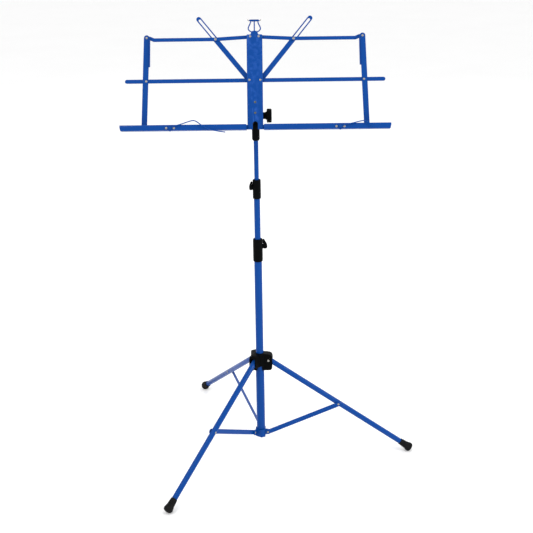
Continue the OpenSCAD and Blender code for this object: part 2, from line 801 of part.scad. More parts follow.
// The three pivots of a side bar: tray, middle arm and top arm
module side_bar_rivets() {
    fronts = [tray_y, bar_y, bar_y];
    backs = [bar_y + arm_t, arm_y + arm_t, arm_y + arm_t];
    color(steel) for (i = [0 : 2]) translate([pivots[i][0] + arm_len, 0, pivots[i][1]]) {
        cross_pin(pivot_r, fronts[i] - gap / 2, backs[i] + gap / 2);
        rivet_head(2.5, 0.9, fronts[i] - gap / 2, -1);
        rivet_head(2.5, 0.8, backs[i] + gap / 2, 1);
    }
}

// Diagonal brace: solid to its middle, then slotted for the top arm's pin
module brace() {
    color(blue) translate([mid_x, 0, mid_h]) rotate([0, -brace_rise, 0]) difference() {
        strip([[0, 0], [brace_tip - brace_w / 2, 0]], brace_w, brace_y, arm_t);
        cross_pin(pivot_r + fit, 0, 20);
        strip([[slot_start, 0], [slot_end, 0]], 2 * slot_r, brace_y - 1, arm_t + 2);
    }
}

// Headed pin on the top arm that slides in the brace's slot
module brace_pin() {
    tail = brace_y + arm_t + gap;
    color(steel) translate([top_x + brace_pin_x, 0, top_h - top_arm_drop]) {
        cross_pin(brace_pin_r, arm_y - small, tail);
        rivet_head(2.4, 0.9, arm_y - small, -1);
        rivet_head(3.4, 0.9, tail, 1);
    }
}

lower_tube();
base_sleeve();
base_bracket();
tube_end_plug();
bracket_rivets();
leg_hub();
hub_leg_pins();
leg(leg_angles[0]);  // leg_1
leg(leg_angles[1]);  // leg_2
leg(leg_angles[2]);  // leg_3
foot(leg_angles[0]);  // foot_1
foot(leg_angles[1]);  // foot_2
foot(leg_angles[2]);  // foot_3
stretcher(leg_angles[0]);  // stretcher_1
stretcher(leg_angles[1]);  // stretcher_2
stretcher(leg_angles[2]);  // stretcher_3
stretcher_rivet(leg_angles[0]);  // stretcher_rivet_1
stretcher_rivet(leg_angles[1]);  // stretcher_rivet_2
stretcher_rivet(leg_angles[2]);  // stretcher_rivet_3
lower_collar();
lower_screw();
mid_tube();
mid_tube_glide();
upper_collar();
upper_screw();
top_tube();
top_tube_glide();
tilt_neck();
tilt_bracket();
bracket_plate_rivets();
tilt_bolt();
tilt_knob();
centre_plate();
plate_pivot_rivets();
lyre_frame();
lyre_crossbar();
on_side(-1) tray();  // tray_left
on_side(1) tray();  // tray_right
on_side(-1) clip_saddle();  // clip_saddle_left
on_side(1) clip_saddle();  // clip_saddle_right
on_side(-1) clip_rivets();  // clip_rivets_left
on_side(1) clip_rivets();  // clip_rivets_right
page_holder_left();
page_holder_right();
on_side(-1) mid_arm();  // mid_arm_left
on_side(1) mid_arm();  // mid_arm_right
on_side(-1) side_bar();  // side_bar_left
on_side(1) side_bar();  // side_bar_right
on_side(-1) side_bar_rivets();  // side_bar_rivets_left
on_side(1) side_bar_rivets();  // side_bar_rivets_right
on_side(-1) top_arm();  // top_arm_left
on_side(1) top_arm();  // top_arm_right
on_side(-1) brace();  // brace_left
on_side(1) brace();  // brace_right
on_side(-1) brace_pin();  // brace_pin_left
on_side(1) brace_pin();  // brace_pin_right
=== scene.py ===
import json
from math import atan2, cos, hypot, pi, radians, sin, sqrt, tan

import bmesh
import bpy
from mathutils import Matrix, Vector


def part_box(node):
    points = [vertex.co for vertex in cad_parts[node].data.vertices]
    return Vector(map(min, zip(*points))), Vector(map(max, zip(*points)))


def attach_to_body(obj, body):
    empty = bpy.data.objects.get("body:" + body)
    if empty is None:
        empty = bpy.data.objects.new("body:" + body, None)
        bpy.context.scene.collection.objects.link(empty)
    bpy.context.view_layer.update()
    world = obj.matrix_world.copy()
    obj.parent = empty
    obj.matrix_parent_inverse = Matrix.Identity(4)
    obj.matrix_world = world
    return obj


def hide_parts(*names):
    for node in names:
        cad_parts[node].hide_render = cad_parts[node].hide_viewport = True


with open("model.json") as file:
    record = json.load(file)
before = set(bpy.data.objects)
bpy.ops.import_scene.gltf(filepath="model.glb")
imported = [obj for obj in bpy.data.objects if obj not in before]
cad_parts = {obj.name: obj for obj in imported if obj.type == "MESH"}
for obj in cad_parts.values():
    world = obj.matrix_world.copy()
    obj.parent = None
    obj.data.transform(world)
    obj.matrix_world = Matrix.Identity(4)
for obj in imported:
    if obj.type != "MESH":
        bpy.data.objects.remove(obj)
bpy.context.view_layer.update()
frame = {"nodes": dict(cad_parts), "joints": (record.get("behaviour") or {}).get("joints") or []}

JOINTS = {j["name"]: j for j in frame["joints"]}
NODES = frame["nodes"]
MM = 0.001
ROUND = 96          # segments round a large turned part
SMALL_ROUND = 40    # segments round a rivet or a wire
SIDES = (("left", -1), ("right", 1))


# ------------------------------------------------------------------ frames

def point_of(joint):
    return Vector(JOINTS[joint]["pos_m"])


def axis_of(joint):
    return Vector(JOINTS[joint]["axis"]).normalized()


def placed(origin, x_axis, z_axis):
    """A frame at origin whose X and Z run along the given directions."""
    z = z_axis.normalized()
    y = z.cross(x_axis).normalized()
    m = Matrix((y.cross(z), y, z)).transposed().to_4x4()
    m.translation = origin
    return m


def middle(node):
    low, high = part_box(node)
    return (low + high) / 2


# The desk's frame: X to the right, Y back through the desk, Z up its slope. Its origin lies
# on the plate's front face, halfway between the trays' pivots.
TRAY_PIVOT_DEPTH = 4
desk_front = axis_of("mid_arm_right_fold")
desk_up = Vector((1, 0, 0)).cross(-desk_front).normalized()
tray_pivots = [point_of(f"tray_{side}_fold") for side, _ in SIDES]
DESK = placed((tray_pivots[0] + tray_pivots[1]) / 2 + desk_front * TRAY_PIVOT_DEPTH * MM,
              Vector((1, 0, 0)), desk_up)
DESK_INVERSE = DESK.inverted()


def on_desk(point):
    """Desk coordinates, in mm, of a point in the shared frame."""
    return DESK_INVERSE @ point / MM


# ------------------------------------------------------------------ meshes

def linked(name, data):
    """A new object of the scene."""
    obj = bpy.data.objects.new(name, data)
    bpy.context.scene.collection.objects.link(obj)
    return obj


def make_piece(name, verts, faces, matrix):
    """A mesh object from points in mm in the frame given by matrix."""
    mesh = bpy.data.meshes.new(name)
    mesh.from_pydata([tuple(Vector(v) * MM) for v in verts], [], faces)
    bm = bmesh.new()
    bm.from_mesh(mesh)
    bmesh.ops.remove_doubles(bm, verts=bm.verts, dist=1e-7)
    bmesh.ops.recalc_face_normals(bm, faces=bm.faces)
    bm.to_mesh(mesh)
    bm.free()
    mesh.transform(matrix)
    return linked(name, mesh)


def joined(name, pieces):
    """One object from several, which are removed."""
    bm = bmesh.new()
    for piece in pieces:
        bm.from_mesh(piece.data)
        bpy.data.objects.remove(piece)
    mesh = bpy.data.meshes.new(name)
    bm.to_mesh(mesh)
    bm.free()
    return linked(name, mesh)


def baked(obj):
    """Applies an object's modifiers to its mesh."""
    graph = bpy.context.evaluated_depsgraph_get()
    mesh = bpy.data.meshes.new_from_object(obj.evaluated_get(graph))
    obj.modifiers.clear()
    old = obj.data
    obj.data = mesh
    bpy.data.meshes.remove(old)
    return obj


def smooth(obj, angle=32):
    obj.data.shade_smooth()
    obj.data.set_sharp_from_angle(angle=radians(angle))
    return obj


def softened(obj, width, angle=35, segments=3):
    """Rounds an object's sharp edges by width, in mm."""
    bevel = obj.modifiers.new("edges", "BEVEL")
    bevel.width = width * MM
    bevel.segments = segments
    bevel.limit_method = "ANGLE"
    bevel.angle_limit = radians(angle)
    bevel.harden_normals = False
    return obj


def combined(obj, other, operation):
    """Applies a boolean with another object, which is removed."""
    boolean = obj.modifiers.new("combine", "BOOLEAN")
    boolean.operation = operation
    boolean.solver = "EXACT"
    boolean.object = other
    baked(obj)
    bpy.data.objects.remove(other)
    return obj


def cut(obj, *cutters):
    """Takes the cutters out of an object, for good."""
    for cutter in cutters:
        combined(obj, cutter, "DIFFERENCE")
    return obj


def moulded(obj, voxel, passes):
    """Melts overlapping solids into one skin with soft inner corners, sizes in mm."""
    remesh = obj.modifiers.new("skin", "REMESH")
    remesh.mode = "VOXEL"
    remesh.voxel_size = voxel * MM
    melt = obj.modifiers.new("melt", "SMOOTH")
    melt.factor = 0.5
    melt.iterations = passes
    return baked(obj)


def arc(x, y, radius, first, turn, steps):
    """Points round (x, y) from the angle first through the angle turn."""
    return [(x + radius * cos(a), y + radius * sin(a))
            for a in (first + turn * k / steps for k in range(steps + 1))]


def circle(x, y, radius, steps=32):
    return arc(x, y, radius, 0, 2 * pi, steps)[:-1]


def rounded(corners, steps=6):
    """The points of an outline whose corners (x, y, radius) are rounded."""
    points = []
    count = len(corners)
    for i, (x, y, radius) in enumerate(corners):
        here = Vector((x, y))
        before = Vector(corners[i - 1][:2]) - here
        after = Vector(corners[(i + 1) % count][:2]) - here
        if radius <= 0 or before.length < 1e-6 or after.length < 1e-6:
            points.append(tuple(here))
            continue
        half = before.angle(after) / 2
        reach = min(radius / tan(half), before.length * 0.499, after.length * 0.499)
        start = here + before.normalized() * reach
        end = here + after.normalized() * reach
        for k in range(steps + 1):
            t = k / steps
            points.append(tuple(start * (1 - t) ** 2 + here * 2 * t * (1 - t) + end * t ** 2))
    return points


def lathe(name, profile, matrix, segments=ROUND, wobble=None):
    """Turns a closed profile of (radius, height) points about Z. wobble(angle, radius)
    gives the radius there, for flutes."""
    verts = []
    faces = []
    count = len(profile)
    for i in range(segments):
        a = 2 * pi * i / segments
        for radius, height in profile:
            r = wobble(a, radius) if wobble else radius
            verts.append((r * cos(a), r * sin(a), height))
    for i in range(segments):
        j = (i + 1) % segments
        for k in range(count):
            n = (k + 1) % count
            if profile[k][0] < 1e-9 and profile[n][0] < 1e-9:
                continue
            faces.append((i * count + k, j * count + k, j * count + n, i * count + n))
    return make_piece(name, verts, faces, matrix)


def cylinder(name, radius, low, high, matrix, segments=ROUND):
    """A plain round bar along Z, solid or used to drill a hole."""
    profile = [(0, low), (radius, low), (radius, high), (0, high)]
    return lathe(name, profile, matrix, segments)


def prism(name, outline, low, high, matrix):
    """An outline in X-Y, drawn out along Z from low to high."""
    count = len(outline)
    verts = [(x, y, low) for x, y in outline] + [(x, y, high) for x, y in outline]
    faces = [tuple(range(count))[::-1], tuple(range(count, 2 * count))]
    for i in range(count):
        j = (i + 1) % count
        faces.append((i, j, count + j, count + i))
    return make_piece(name, verts, faces, matrix)


def wire(name, path, radius, matrix):
    """A round wire with domed ends along a smooth path of points, in mm."""
    points = [Vector(p) for p in path]
    rings = []
    dome = 5
    for k in range(dome):
        a = pi / 2 * k / dome
        rings.append((0, -radius * cos(a), radius * sin(a) + 1e-4))
    for i in range(len(points)):
        rings.append((i, 0, radius))
    for k in range(dome - 1, -1, -1):
        a = pi / 2 * k / dome
        rings.append((len(points) - 1, radius * cos(a), radius * sin(a) + 1e-4))
    tangents = []
    for i in range(len(points)):
        step = points[min(i + 1, len(points) - 1)] - points[max(i - 1, 0)]
        tangents.append(step.normalized())
    side = tangents[0].orthogonal().normalized()
    sides = []
    for tangent in tangents:
        side = (side - tangent * side.dot(tangent)).normalized()
        sides.append(side)
    verts = []
    sections = 20
    for index, shift, r in rings:
        centre = points[index] + tangents[index] * shift
        other = tangents[index].cross(sides[index])
        for s in range(sections):
            a = 2 * pi * s / sections
            verts.append(centre + sides[index] * r * cos(a) + other * r * sin(a))
    faces = [tuple(range(sections))[::-1],
             tuple(range((len(rings) - 1) * sections, len(rings) * sections))]
    for i in range(len(rings) - 1):
        for s in range(sections):
            n = (s + 1) % sections
            faces.append((i * sections + s, i * sections + n, (i + 1) * sections + n,
                          (i + 1) * sections + s))
    return make_piece(name, verts, faces, matrix)


def curve_through(points, per_span=8):
    """Points on a Catmull-Rom curve through the given ones."""
    pts = [Vector(p) for p in points]
    pts = [pts[0] * 2 - pts[1]] + pts + [pts[-1] * 2 - pts[-2]]
    out = []
    for i in range(1, len(pts) - 2):
        a, b, c, d = pts[i - 1:i + 3]
        for k in range(per_span):
            t = k / per_span
            out.append(0.5 * (b * 2 + (c - a) * t + (a * 2 - b * 5 + c * 4 - d) * t ** 2
                              + (b * 3 - a - c * 3 + d) * t ** 3))
    out.append(pts[-2])
    return out


def strip_outline(points, width, steps=10):
    """The outline of a flat strip of even width along points, with round ends."""
    pts = [Vector(p) for p in points]
    half = width / 2
    left = []
    right = []
    for i, p in enumerate(pts):
        before = (p - pts[i - 1]).normalized() if i else (pts[1] - p).normalized()
        after = (pts[i + 1] - p).normalized() if i < len(pts) - 1 else before
        normal = Vector((-(before.y + after.y), before.x + after.x)).normalized()
        scale = half / max(normal.dot(Vector((-after.y, after.x))), 0.5)
        left.append(p + normal * scale)
        right.append(p - normal * scale)

    def cap(centre, start, sign):
        first = atan2(start.y - centre.y, start.x - centre.x)
        return [centre + Vector((cos(first + sign * pi * k / steps),
                                 sin(first + sign * pi * k / steps))) * half
                for k in range(1, steps)]

    outline = right + cap(pts[-1], right[-1], 1) + left[::-1] + cap(pts[0], left[0], 1)
    return [tuple(p) for p in outline]


def plate(name, outlines, low, high, edge, matrix):
    """A flat plate with rounded edges. The first outline is its rim, the rest are holes.
    Outlines lie in X-Y and the plate runs along Z from low to high, all in mm."""
    curve = bpy.data.curves.new(name, "CURVE")
    curve.dimensions = "2D"
    curve.fill_mode = "BOTH"
    for outline in outlines:
        spline = curve.splines.new("POLY")
        spline.points.add(len(outline) - 1)
        for p, (x, y) in zip(spline.points, outline):
            p.co = (x * MM, y * MM, 0, 1)
        spline.use_cyclic_u = True
    curve.extrude = ((high - low) / 2 - edge) * MM
    curve.bevel_depth = edge * MM
    curve.bevel_resolution = 2
    curve.offset = -edge * MM
    holder = linked(name, curve)
    graph = bpy.context.evaluated_depsgraph_get()
    mesh = bpy.data.meshes.new_from_object(holder.evaluated_get(graph))
    bpy.data.objects.remove(holder)
    mesh.transform(Matrix.Translation((0, 0, (low + high) / 2 * MM)))
    mesh.transform(matrix)
    return linked(name, mesh)


def folded(name, line, thickness, low, high, matrix, bend=1.6):
    """Bent sheet metal: a centre line in X-Y with rounded bends and round edges, drawn out
    along Z from low to high."""
    half = thickness / 2
    corners = [(x, y, bend if 0 < i < len(line) - 1 else 0) for i, (x, y) in enumerate(line)]
    middle_line = [Vector(corners[0][:2])]
    for i in range(1, len(corners) - 1):
        before, after = ((*corners[j][:2], 0) for j in (i - 1, i + 1))
        part = rounded([before, corners[i], after], 7)
        middle_line += [Vector(p) for p in part[1:-1]]
    middle_line.append(Vector(corners[-1][:2]))
    outline = strip_outline(middle_line, thickness, 6)
    obj = prism(name, outline, low, high, matrix)
    return softened(obj, half * 0.45, 60, 2)


# ------------------------------------------------------------------ materials

class Nodes:
    """Short calls for building one material's node tree."""

    def __init__(self, name):
        self.material = bpy.data.materials.new(name)
        self.material.use_nodes = True
        self.tree = self.material.node_tree
        self.shader = self.tree.nodes["Principled BSDF"]
        self.place = self.tree.nodes.new("ShaderNodeTexCoord").outputs["Object"]

    def link(self, out, socket):
        self.tree.links.new(out, socket)

    def noise(self, scale, detail=3.0, rough=0.5, stretch=None):
        vector = self.place
        if stretch:
            mapping = self.tree.nodes.new("ShaderNodeMapping")
            mapping.inputs["Scale"].default_value = stretch
            self.link(self.place, mapping.inputs["Vector"])
            vector = mapping.outputs["Vector"]
        node = self.tree.nodes.new("ShaderNodeTexNoise")
        node.inputs["Scale"].default_value = scale
        node.inputs["Detail"].default_value = detail
        node.inputs["Roughness"].default_value = rough
        self.link(vector, node.inputs["Vector"])
        return node.outputs["Fac"]

    def spread(self, value, low, high, new_low, new_high):
        node = self.tree.nodes.new("ShaderNodeMapRange")
        for name, number in (("From Min", low), ("From Max", high), ("To Min", new_low),
                             ("To Max", new_high)):
            node.inputs[name].default_value = number
        self.link(value, node.inputs["Value"])
        return node.outputs["Result"]

    def mix(self, factor, first, second):
        node = self.tree.nodes.new("ShaderNodeMix")
        node.data_type = "RGBA"
        self.link(factor, node.inputs["Factor"])
        for socket, colour in ((node.inputs[6], first), (node.inputs[7], second)):
            if isinstance(colour, tuple):
                socket.default_value = (*colour, 1)
            else:
                self.link(colour, socket)
        return node.outputs[2]

    def edges(self, low=0.55, high=0.66):
        """1 on outer edges, 0 on flats: the coating wears there, and the plastic gets a painted
        sheen there.
        """
        geometry = self.tree.nodes.new("ShaderNodeNewGeometry")
        return self.spread(geometry.outputs["Pointiness"], low, high, 0, 1)

    def bump(self, height, strength, distance, under=None):
        node = self.tree.nodes.new("ShaderNodeBump")
        node.inputs["Strength"].default_value = strength
        node.inputs["Distance"].default_value = distance
        self.link(height, node.inputs["Height"])
        if under is not None:
            self.link(under, node.inputs["Normal"])
        return node.outputs["Normal"]

    def done(self, colour, roughness, normal, **fixed):
        self.link(colour, self.shader.inputs["Base Color"])
        self.link(roughness, self.shader.inputs["Roughness"])
        self.link(normal, self.shader.inputs["Normal"])
        for name, value in fixed.items():
            self.shader.inputs[name.replace("_", " ")].default_value = value
        return self.material


def powder_coat(name, deep, light, rough_low, rough_high, coat):
    """Glossy blue coating with a faint orange peel, thinner and lighter on the edges."""
    n = Nodes(name)
    cloud = n.spread(n.noise(14, 3), 0.3, 0.7, 0, 1)
    body = n.mix(cloud, deep, light)
    speck = n.spread(n.noise(2600, 2), 0.60, 0.74, 0, 0.18)
    body = n.mix(speck, body, tuple(c * 0.72 for c in deep))
    worn = n.spread(n.noise(150, 3), 0.42, 0.66, 0, 0.5)
    thin = n.tree.nodes.new("ShaderNodeMath")
    thin.operation = "MULTIPLY"
    n.link(n.edges(), thin.inputs[0])
    n.link(worn, thin.inputs[1])
    colour = n.mix(thin.outputs[0], body, tuple(min(1, c * 1.7 + 0.03) for c in light))
    peel = n.bump(n.noise(620, 2, 0.45), 0.1, 0.0002)
    normal = n.bump(n.noise(2200, 2), 0.05, 0.0001, peel)
    roughness = n.spread(n.noise(40, 3), 0.3, 0.7, rough_low, rough_high)
    return n.done(colour, roughness, normal, Coat_Weight=coat, Coat_Roughness=0.12,
                  Specular_IOR_Level=0.07)


def moulded_plastic(name, dark, light, rough_low, rough_high, grain):
    """Spark-eroded black plastic: fine grain, and a painted sheen that lightens its edges."""
    n = Nodes(name)
    colour = n.mix(n.spread(n.noise(55, 4), 0.35, 0.65, 0, 1), dark, light)
    # painted sheen: the outer edges are mixed towards a lighter grey, standing in for gloss
    colour = n.mix(n.spread(n.edges(), 0, 1, 0, 0.35), colour, tuple(c * 1.9 for c in light))
    fine = n.bump(n.noise(1900, 3, 0.6), grain, 0.00022)
    normal = n.bump(n.noise(160, 2), 0.06, 0.0006, fine)
    roughness = n.spread(n.noise(130, 4), 0.3, 0.7, rough_low, rough_high)
    return n.done(colour, roughness, normal, Specular_IOR_Level=0.03)


def rubber(name):
    """Matt rubber with a dusty bloom and scuffs."""
    n = Nodes(name)
    colour = n.mix(n.spread(n.noise(70, 5), 0.35, 0.7, 0, 1), (0.003, 0.003, 0.0035),
                   (0.007, 0.007, 0.007))
    bloom = n.spread(n.noise(320, 5, 0.65), 0.52, 0.75, 0, 0.45)
    colour = n.mix(bloom, colour, (0.017, 0.016, 0.015))
    fine = n.bump(n.noise(1300, 3, 0.6), 0.3, 0.0003)
    normal = n.bump(n.noise(90, 3), 0.1, 0.001, fine)
    roughness = n.spread(n.noise(200, 4), 0.3, 0.7, 0.66, 0.88)
    return n.done(colour, roughness, normal, Specular_IOR_Level=0.12)


def plated_steel(name, first, second, rough_low, rough_high):
    """Zinc plate: pale grey with a faint warm bloom and fine turning marks."""
    n = Nodes(name)
    colour = n.mix(n.spread(n.noise(260, 4), 0.35, 0.65, 0, 1), first, second)
    marks = n.bump(n.noise(1400, 4, 0.6, stretch=(1, 1, 6)), 0.12, 0.00012)
    roughness = n.spread(n.noise(700, 4), 0.3, 0.7, rough_low, rough_high)
    return n.done(colour, roughness, marks, Metallic=1.0)


BLUE = powder_coat("blue_powder_coat", (0.001, 0.049, 0.252), (0.0015, 0.052, 0.264),
                   0.27, 0.33, 0.08)
BLUE_WIRE = powder_coat("blue_wire_coat", (0.001, 0.050, 0.258), (0.002, 0.056, 0.276),
                        0.26, 0.34, 0.06)
PLASTIC = moulded_plastic("black_moulded_plastic", (0.0012, 0.0014, 0.0016),
                          (0.0022, 0.0024, 0.0026), 0.38, 0.52, 0.2)
INNER_PLASTIC = moulded_plastic("grey_glide_plastic", (0.004, 0.004, 0.0045),
                                (0.007, 0.007, 0.0075), 0.35, 0.5, 0.12)
RUBBER = rubber("foot_rubber")
ZINC = plated_steel("zinc_plate", (0.27, 0.26, 0.24), (0.36, 0.35, 0.325), 0.32, 0.48)
DULL_ZINC = plated_steel("dull_zinc_plate", (0.085, 0.095, 0.085), (0.13, 0.14, 0.125), 0.36, 0.5)
BOLT_STEEL = plated_steel("bolt_steel", (0.40, 0.40, 0.40), (0.50, 0.50, 0.50), 0.24, 0.38)


def painted(obj, material):
    obj.data.materials.clear()
    obj.data.materials.append(material)
    return obj


def attach(obj, body, material, nodes=()):
    """Finishes a piece: its material, the body it moves with and the nodes it stands for."""
    painted(obj, material)
    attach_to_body(obj, body)
    if nodes:
        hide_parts(*nodes)
    return obj


# ------------------------------------------------------------------ shared shapes

def dome(radius, rise, steps=6):
    """Profile points of a low dome, from its rim to its top."""
    return [(radius * cos(a), rise * sin(a))
            for a in (pi / 2 * k / steps for k in range(steps + 1))]


def rivet(matrix, front, back, shank, head, rise, tail, tail_rise, shoulder=None):
    """A rivet along Z with its head above front and its tail below back. shoulder is
    (radius, top, bottom) of a thicker stretch of the shank."""
    lip = 0.12
    profile = [(r, front + lip + h) for r, h in reversed(dome(head, rise - lip))]
    profile += [(head, front), (shank, front)]
    if shoulder:
        radius, top, bottom = shoulder
        profile += [(shank, top), (radius, top), (radius, bottom), (shank, bottom)]
    profile += [(shank, back), (tail, back)]
    profile += [(r, back - lip - h) for r, h in dome(tail, tail_rise - lip)]
    return smooth(lathe("rivet", profile, matrix, SMALL_ROUND), 40)


def hollow_tube(name, outer, inner, low, high, matrix):
    """A drawn tube with its cut ends lightly rounded."""
    edge = (outer - inner) * 0.35
    corners = [(inner, low, edge), (outer, low, edge), (outer, high, edge), (inner, high, edge)]
    return smooth(lathe(name, rounded(corners, 3), matrix), 50)


def upright(node):
    """Lowest and highest Z of a node, in mm."""
    low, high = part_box(node)
    return low.z / MM, high.z / MM


def reach_of(node):
    """Half a round upright node's width, in mm."""
    low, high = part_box(node)
    return (high.x - low.x) / 2 / MM


WORLD = Matrix.Identity(4)

# ------------------------------------------------------------------ column

TUBE_WALL = 0.9
BORE_PLAY = 0.04    # between a tube and the plastic round it


def column_tube(name, body, wall=TUBE_WALL):
    low, high = upright(name)
    outer = reach_of(name)
    tube = hollow_tube(name + "_drawn", outer, outer - wall, low, high, WORLD)
    attach(tube, body, BLUE, [name])
    return outer


lower_r = column_tube("lower_tube", "base")
mid_r = column_tube("mid_tube", "mid_section")
top_r = column_tube("top_tube", "top_section")
column_tube("base_sleeve", "base", 0.92)


def thumb_frame(joint):
    """X up the column and Z out along the screw."""
    return placed(point_of(joint), Vector((0, 0, 1)), axis_of(joint))


def column_clamp(side_name, body, screw_body, tube_r, screw_joint):
    """A collar with a soft boss and its winged thumb screw."""
    collar_node = side_name + "_collar"
    screw_node = side_name + "_screw"
    low, high = upright(collar_node)
    frame_z = point_of(screw_joint).z / MM
    box_low, box_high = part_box(collar_node)
    radius = (box_high.y - box_low.y) / 2 / MM
    boss_r = 4.8
    boss_top = radius + 1.2
    collar = lathe("collar", rounded([(0, low, 0), (radius - 0.1, low, 2.2), (radius, low + 6, 8),
                                      (radius, high - 6, 8), (radius - 0.1, high, 2.2),
                                      (0, high, 0)], 6), WORLD)
    screw = thumb_frame(screw_joint)
    boss = lathe("boss", rounded([(0, 0, 0), (boss_r, 0, 0), (boss_r, boss_top, 1.2),
                                  (0, boss_top, 0)], 5), screw, 64)
    body_piece = moulded(joined(collar_node + "_moulded", [collar, boss]), 0.42, 9)
    cut(body_piece, cylinder("bore", tube_r + BORE_PLAY, low - 1, high + 1, WORLD))
    attach(smooth(body_piece, 40), body, PLASTIC, [collar_node])

    # The screw: a domed head, and a wing that points up and thins to its tip
    low_corner, high_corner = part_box(screw_node)
    grip_low = boss_top + 0.3
    grip_high = max(abs(low_corner.x), abs(high_corner.x)) / MM / abs(axis_of(screw_joint).x) - 0.2
    wing_up = high_corner.z / MM - frame_z - 0.2
    head_r = 5.3
    head = lathe("head", rounded([(0, grip_low, 0), (head_r, grip_low, 1), (head_r, grip_high, 2.8),
                                  (0, grip_high, 0)], 6), screw, 64)
    # drawn in the plane of the screw and the column: X up, Y out
    side_on = screw @ Matrix.Rotation(radians(90), 4, "X")
    close = radius + 0.45
    wing_outline = rounded([(-1, -grip_low, 0), (boss_r + 0.3, -grip_low, 0.3),
                            (boss_r + 0.5, -close, 0.3), (wing_up, -close, 1),
                            (wing_up - 0.4, -close - 3, 2), (head_r - 0.6, -grip_high + 0.4, 6),
                            (-1, -grip_high + 0.4, 0)], 6)
    flipped = [(x, -y) for x, y in wing_outline]
    wing = prism("wing", flipped, -2.3, 2.3, side_on)
    grip = moulded(joined(screw_node + "_moulded", [head, wing]), 0.3, 8)
    shank = cylinder("shank", 2.35, tube_r * 0.8, grip_low + 2, screw, SMALL_ROUND)
    piece = joined(screw_node + "_winged", [grip, shank])
    attach(smooth(piece, 40), screw_body, PLASTIC, [screw_node])


column_clamp("lower", "base", "lower_screw", lower_r, "lower_screw_turn")
column_clamp("upper", "mid_section", "upper_screw", mid_r, "upper_screw_turn")

# ------------------------------------------------------------------ tripod

LEG_R = 5.4
HUB_SLOT = 5.7
STRETCHER_T = 1.5
STRETCHER_NEAR = LEG_R + 0.3    # the strip's side towards the leg, from the leg's axis
STRETCHER_W = 9.5
EYE_R = 5.0
PIN_R = 1.6


def leg_frame(index):
    """X up from the leg and Z out along it, from its hinge pin."""
    pin = point_of(f"leg_{index}_fold")
    tip = Vector((0, 0, 0))
    count = 0
    far = max((v.co - pin).length for v in NODES[f"leg_{index}"].data.vertices)
    for v in NODES[f"leg_{index}"].data.vertices:
        if (v.co - pin).length > far * 0.97:
            tip += v.co
            count += 1
    along = (tip / count - pin).normalized()
    across = axis_of(f"leg_{index}_fold")
    along -= across * along.dot(across)
    return placed(pin, across.cross(along), along), far / MM


def stretcher_frame(index):
    """X along the strip, Y up, Z out through its rivets' heads, from its lower pivot."""
    pivot = point_of(f"stretcher_{index}_fold")
    out_side = axis_of(f"stretcher_{index}_fold")
    far = middle(f"stretcher_rivet_{index}")
    along = far - pivot
    along -= out_side * along.dot(out_side)
    length = along.length / MM
    return placed(pivot, along.normalized(), out_side), length


def radial_frame(index):
    """X out from the column towards a leg, Y across it, Z up, on the column axis."""
    out = point_of(f"leg_{index}_fold").copy()
    out.z = 0
    return placed(Vector((0, 0, 0)), out.normalized(), Vector((0, 0, 1)))


def side_view(matrix):
    """The X-Z plane of a frame as X-Y, with Z turned to -Y."""
    return matrix @ Matrix.Rotation(radians(90), 4, "X")


LEGS = (1, 2, 3)


def build_hub():
    low, high = upright("leg_hub")
    barrel_low = upright("base_sleeve")[1]
    pin = point_of("leg_1_fold")
    pin_r = hypot(pin.x, pin.y) / MM
    lug_out = pin_r + 7.8
    lug_side = 8.4
    barrel_r = 11.7
    short_low = barrel_low + 0.8
    barrel = rounded([(0, barrel_low, 0), (barrel_r, barrel_low, 1.5), (barrel_r, high, 3.5),
                      (0, high, 0)], 6)
    parts = [lathe("barrel", barrel, WORLD)]
    for index in LEGS:
        frame_out = side_view(radial_frame(index))
        # a long wall on the side of the pin's head, a shorter one where the pin ends
        for bottom, near, far in ((low, 0, lug_side), (short_low, -lug_side, 0)):
            outline = rounded([(5, bottom, 0), (lug_out, bottom + 1, 7), (lug_out, high - 1.6, 9),
                               (5, high - 0.3, 0)], 8)
            parts.append(prism("lug", outline, near, far, frame_out))
    hub = moulded(joined("leg_hub_moulded", parts), 0.6, 10)
    below, above = 150, 230     # heights well clear of the hub
    cutters = [cylinder("bore", lower_r + 0.1, below, above, WORLD),
               cylinder("counterbore", 9.2, below, barrel_low, WORLD)]
    for index in LEGS:
        slot = rounded([(12, below, 0), (60, below, 0), (60, high - 5.5, 0), (20, high - 6.5, 3),
                        (12, high - 12, 2)], 5)
        cutters.append(prism("slot", slot, -HUB_SLOT, HUB_SLOT, side_view(radial_frame(index))))
    cut(hub, *cutters)
    attach(smooth(hub, 38), "hub", PLASTIC, ["leg_hub"])

    pins = []
    for index in LEGS:
        across = placed(point_of(f"leg_{index}_fold"), Vector((0, 0, 1)),
                        -axis_of(f"leg_{index}_fold"))
        pins.append(rivet(across, lug_side + 0.12, -7.7, 2, 2.4, 1, 2, 0.13))
    attach(joined("hub_leg_pins_domed", pins), "hub", ZINC, ["hub_leg_pins"])


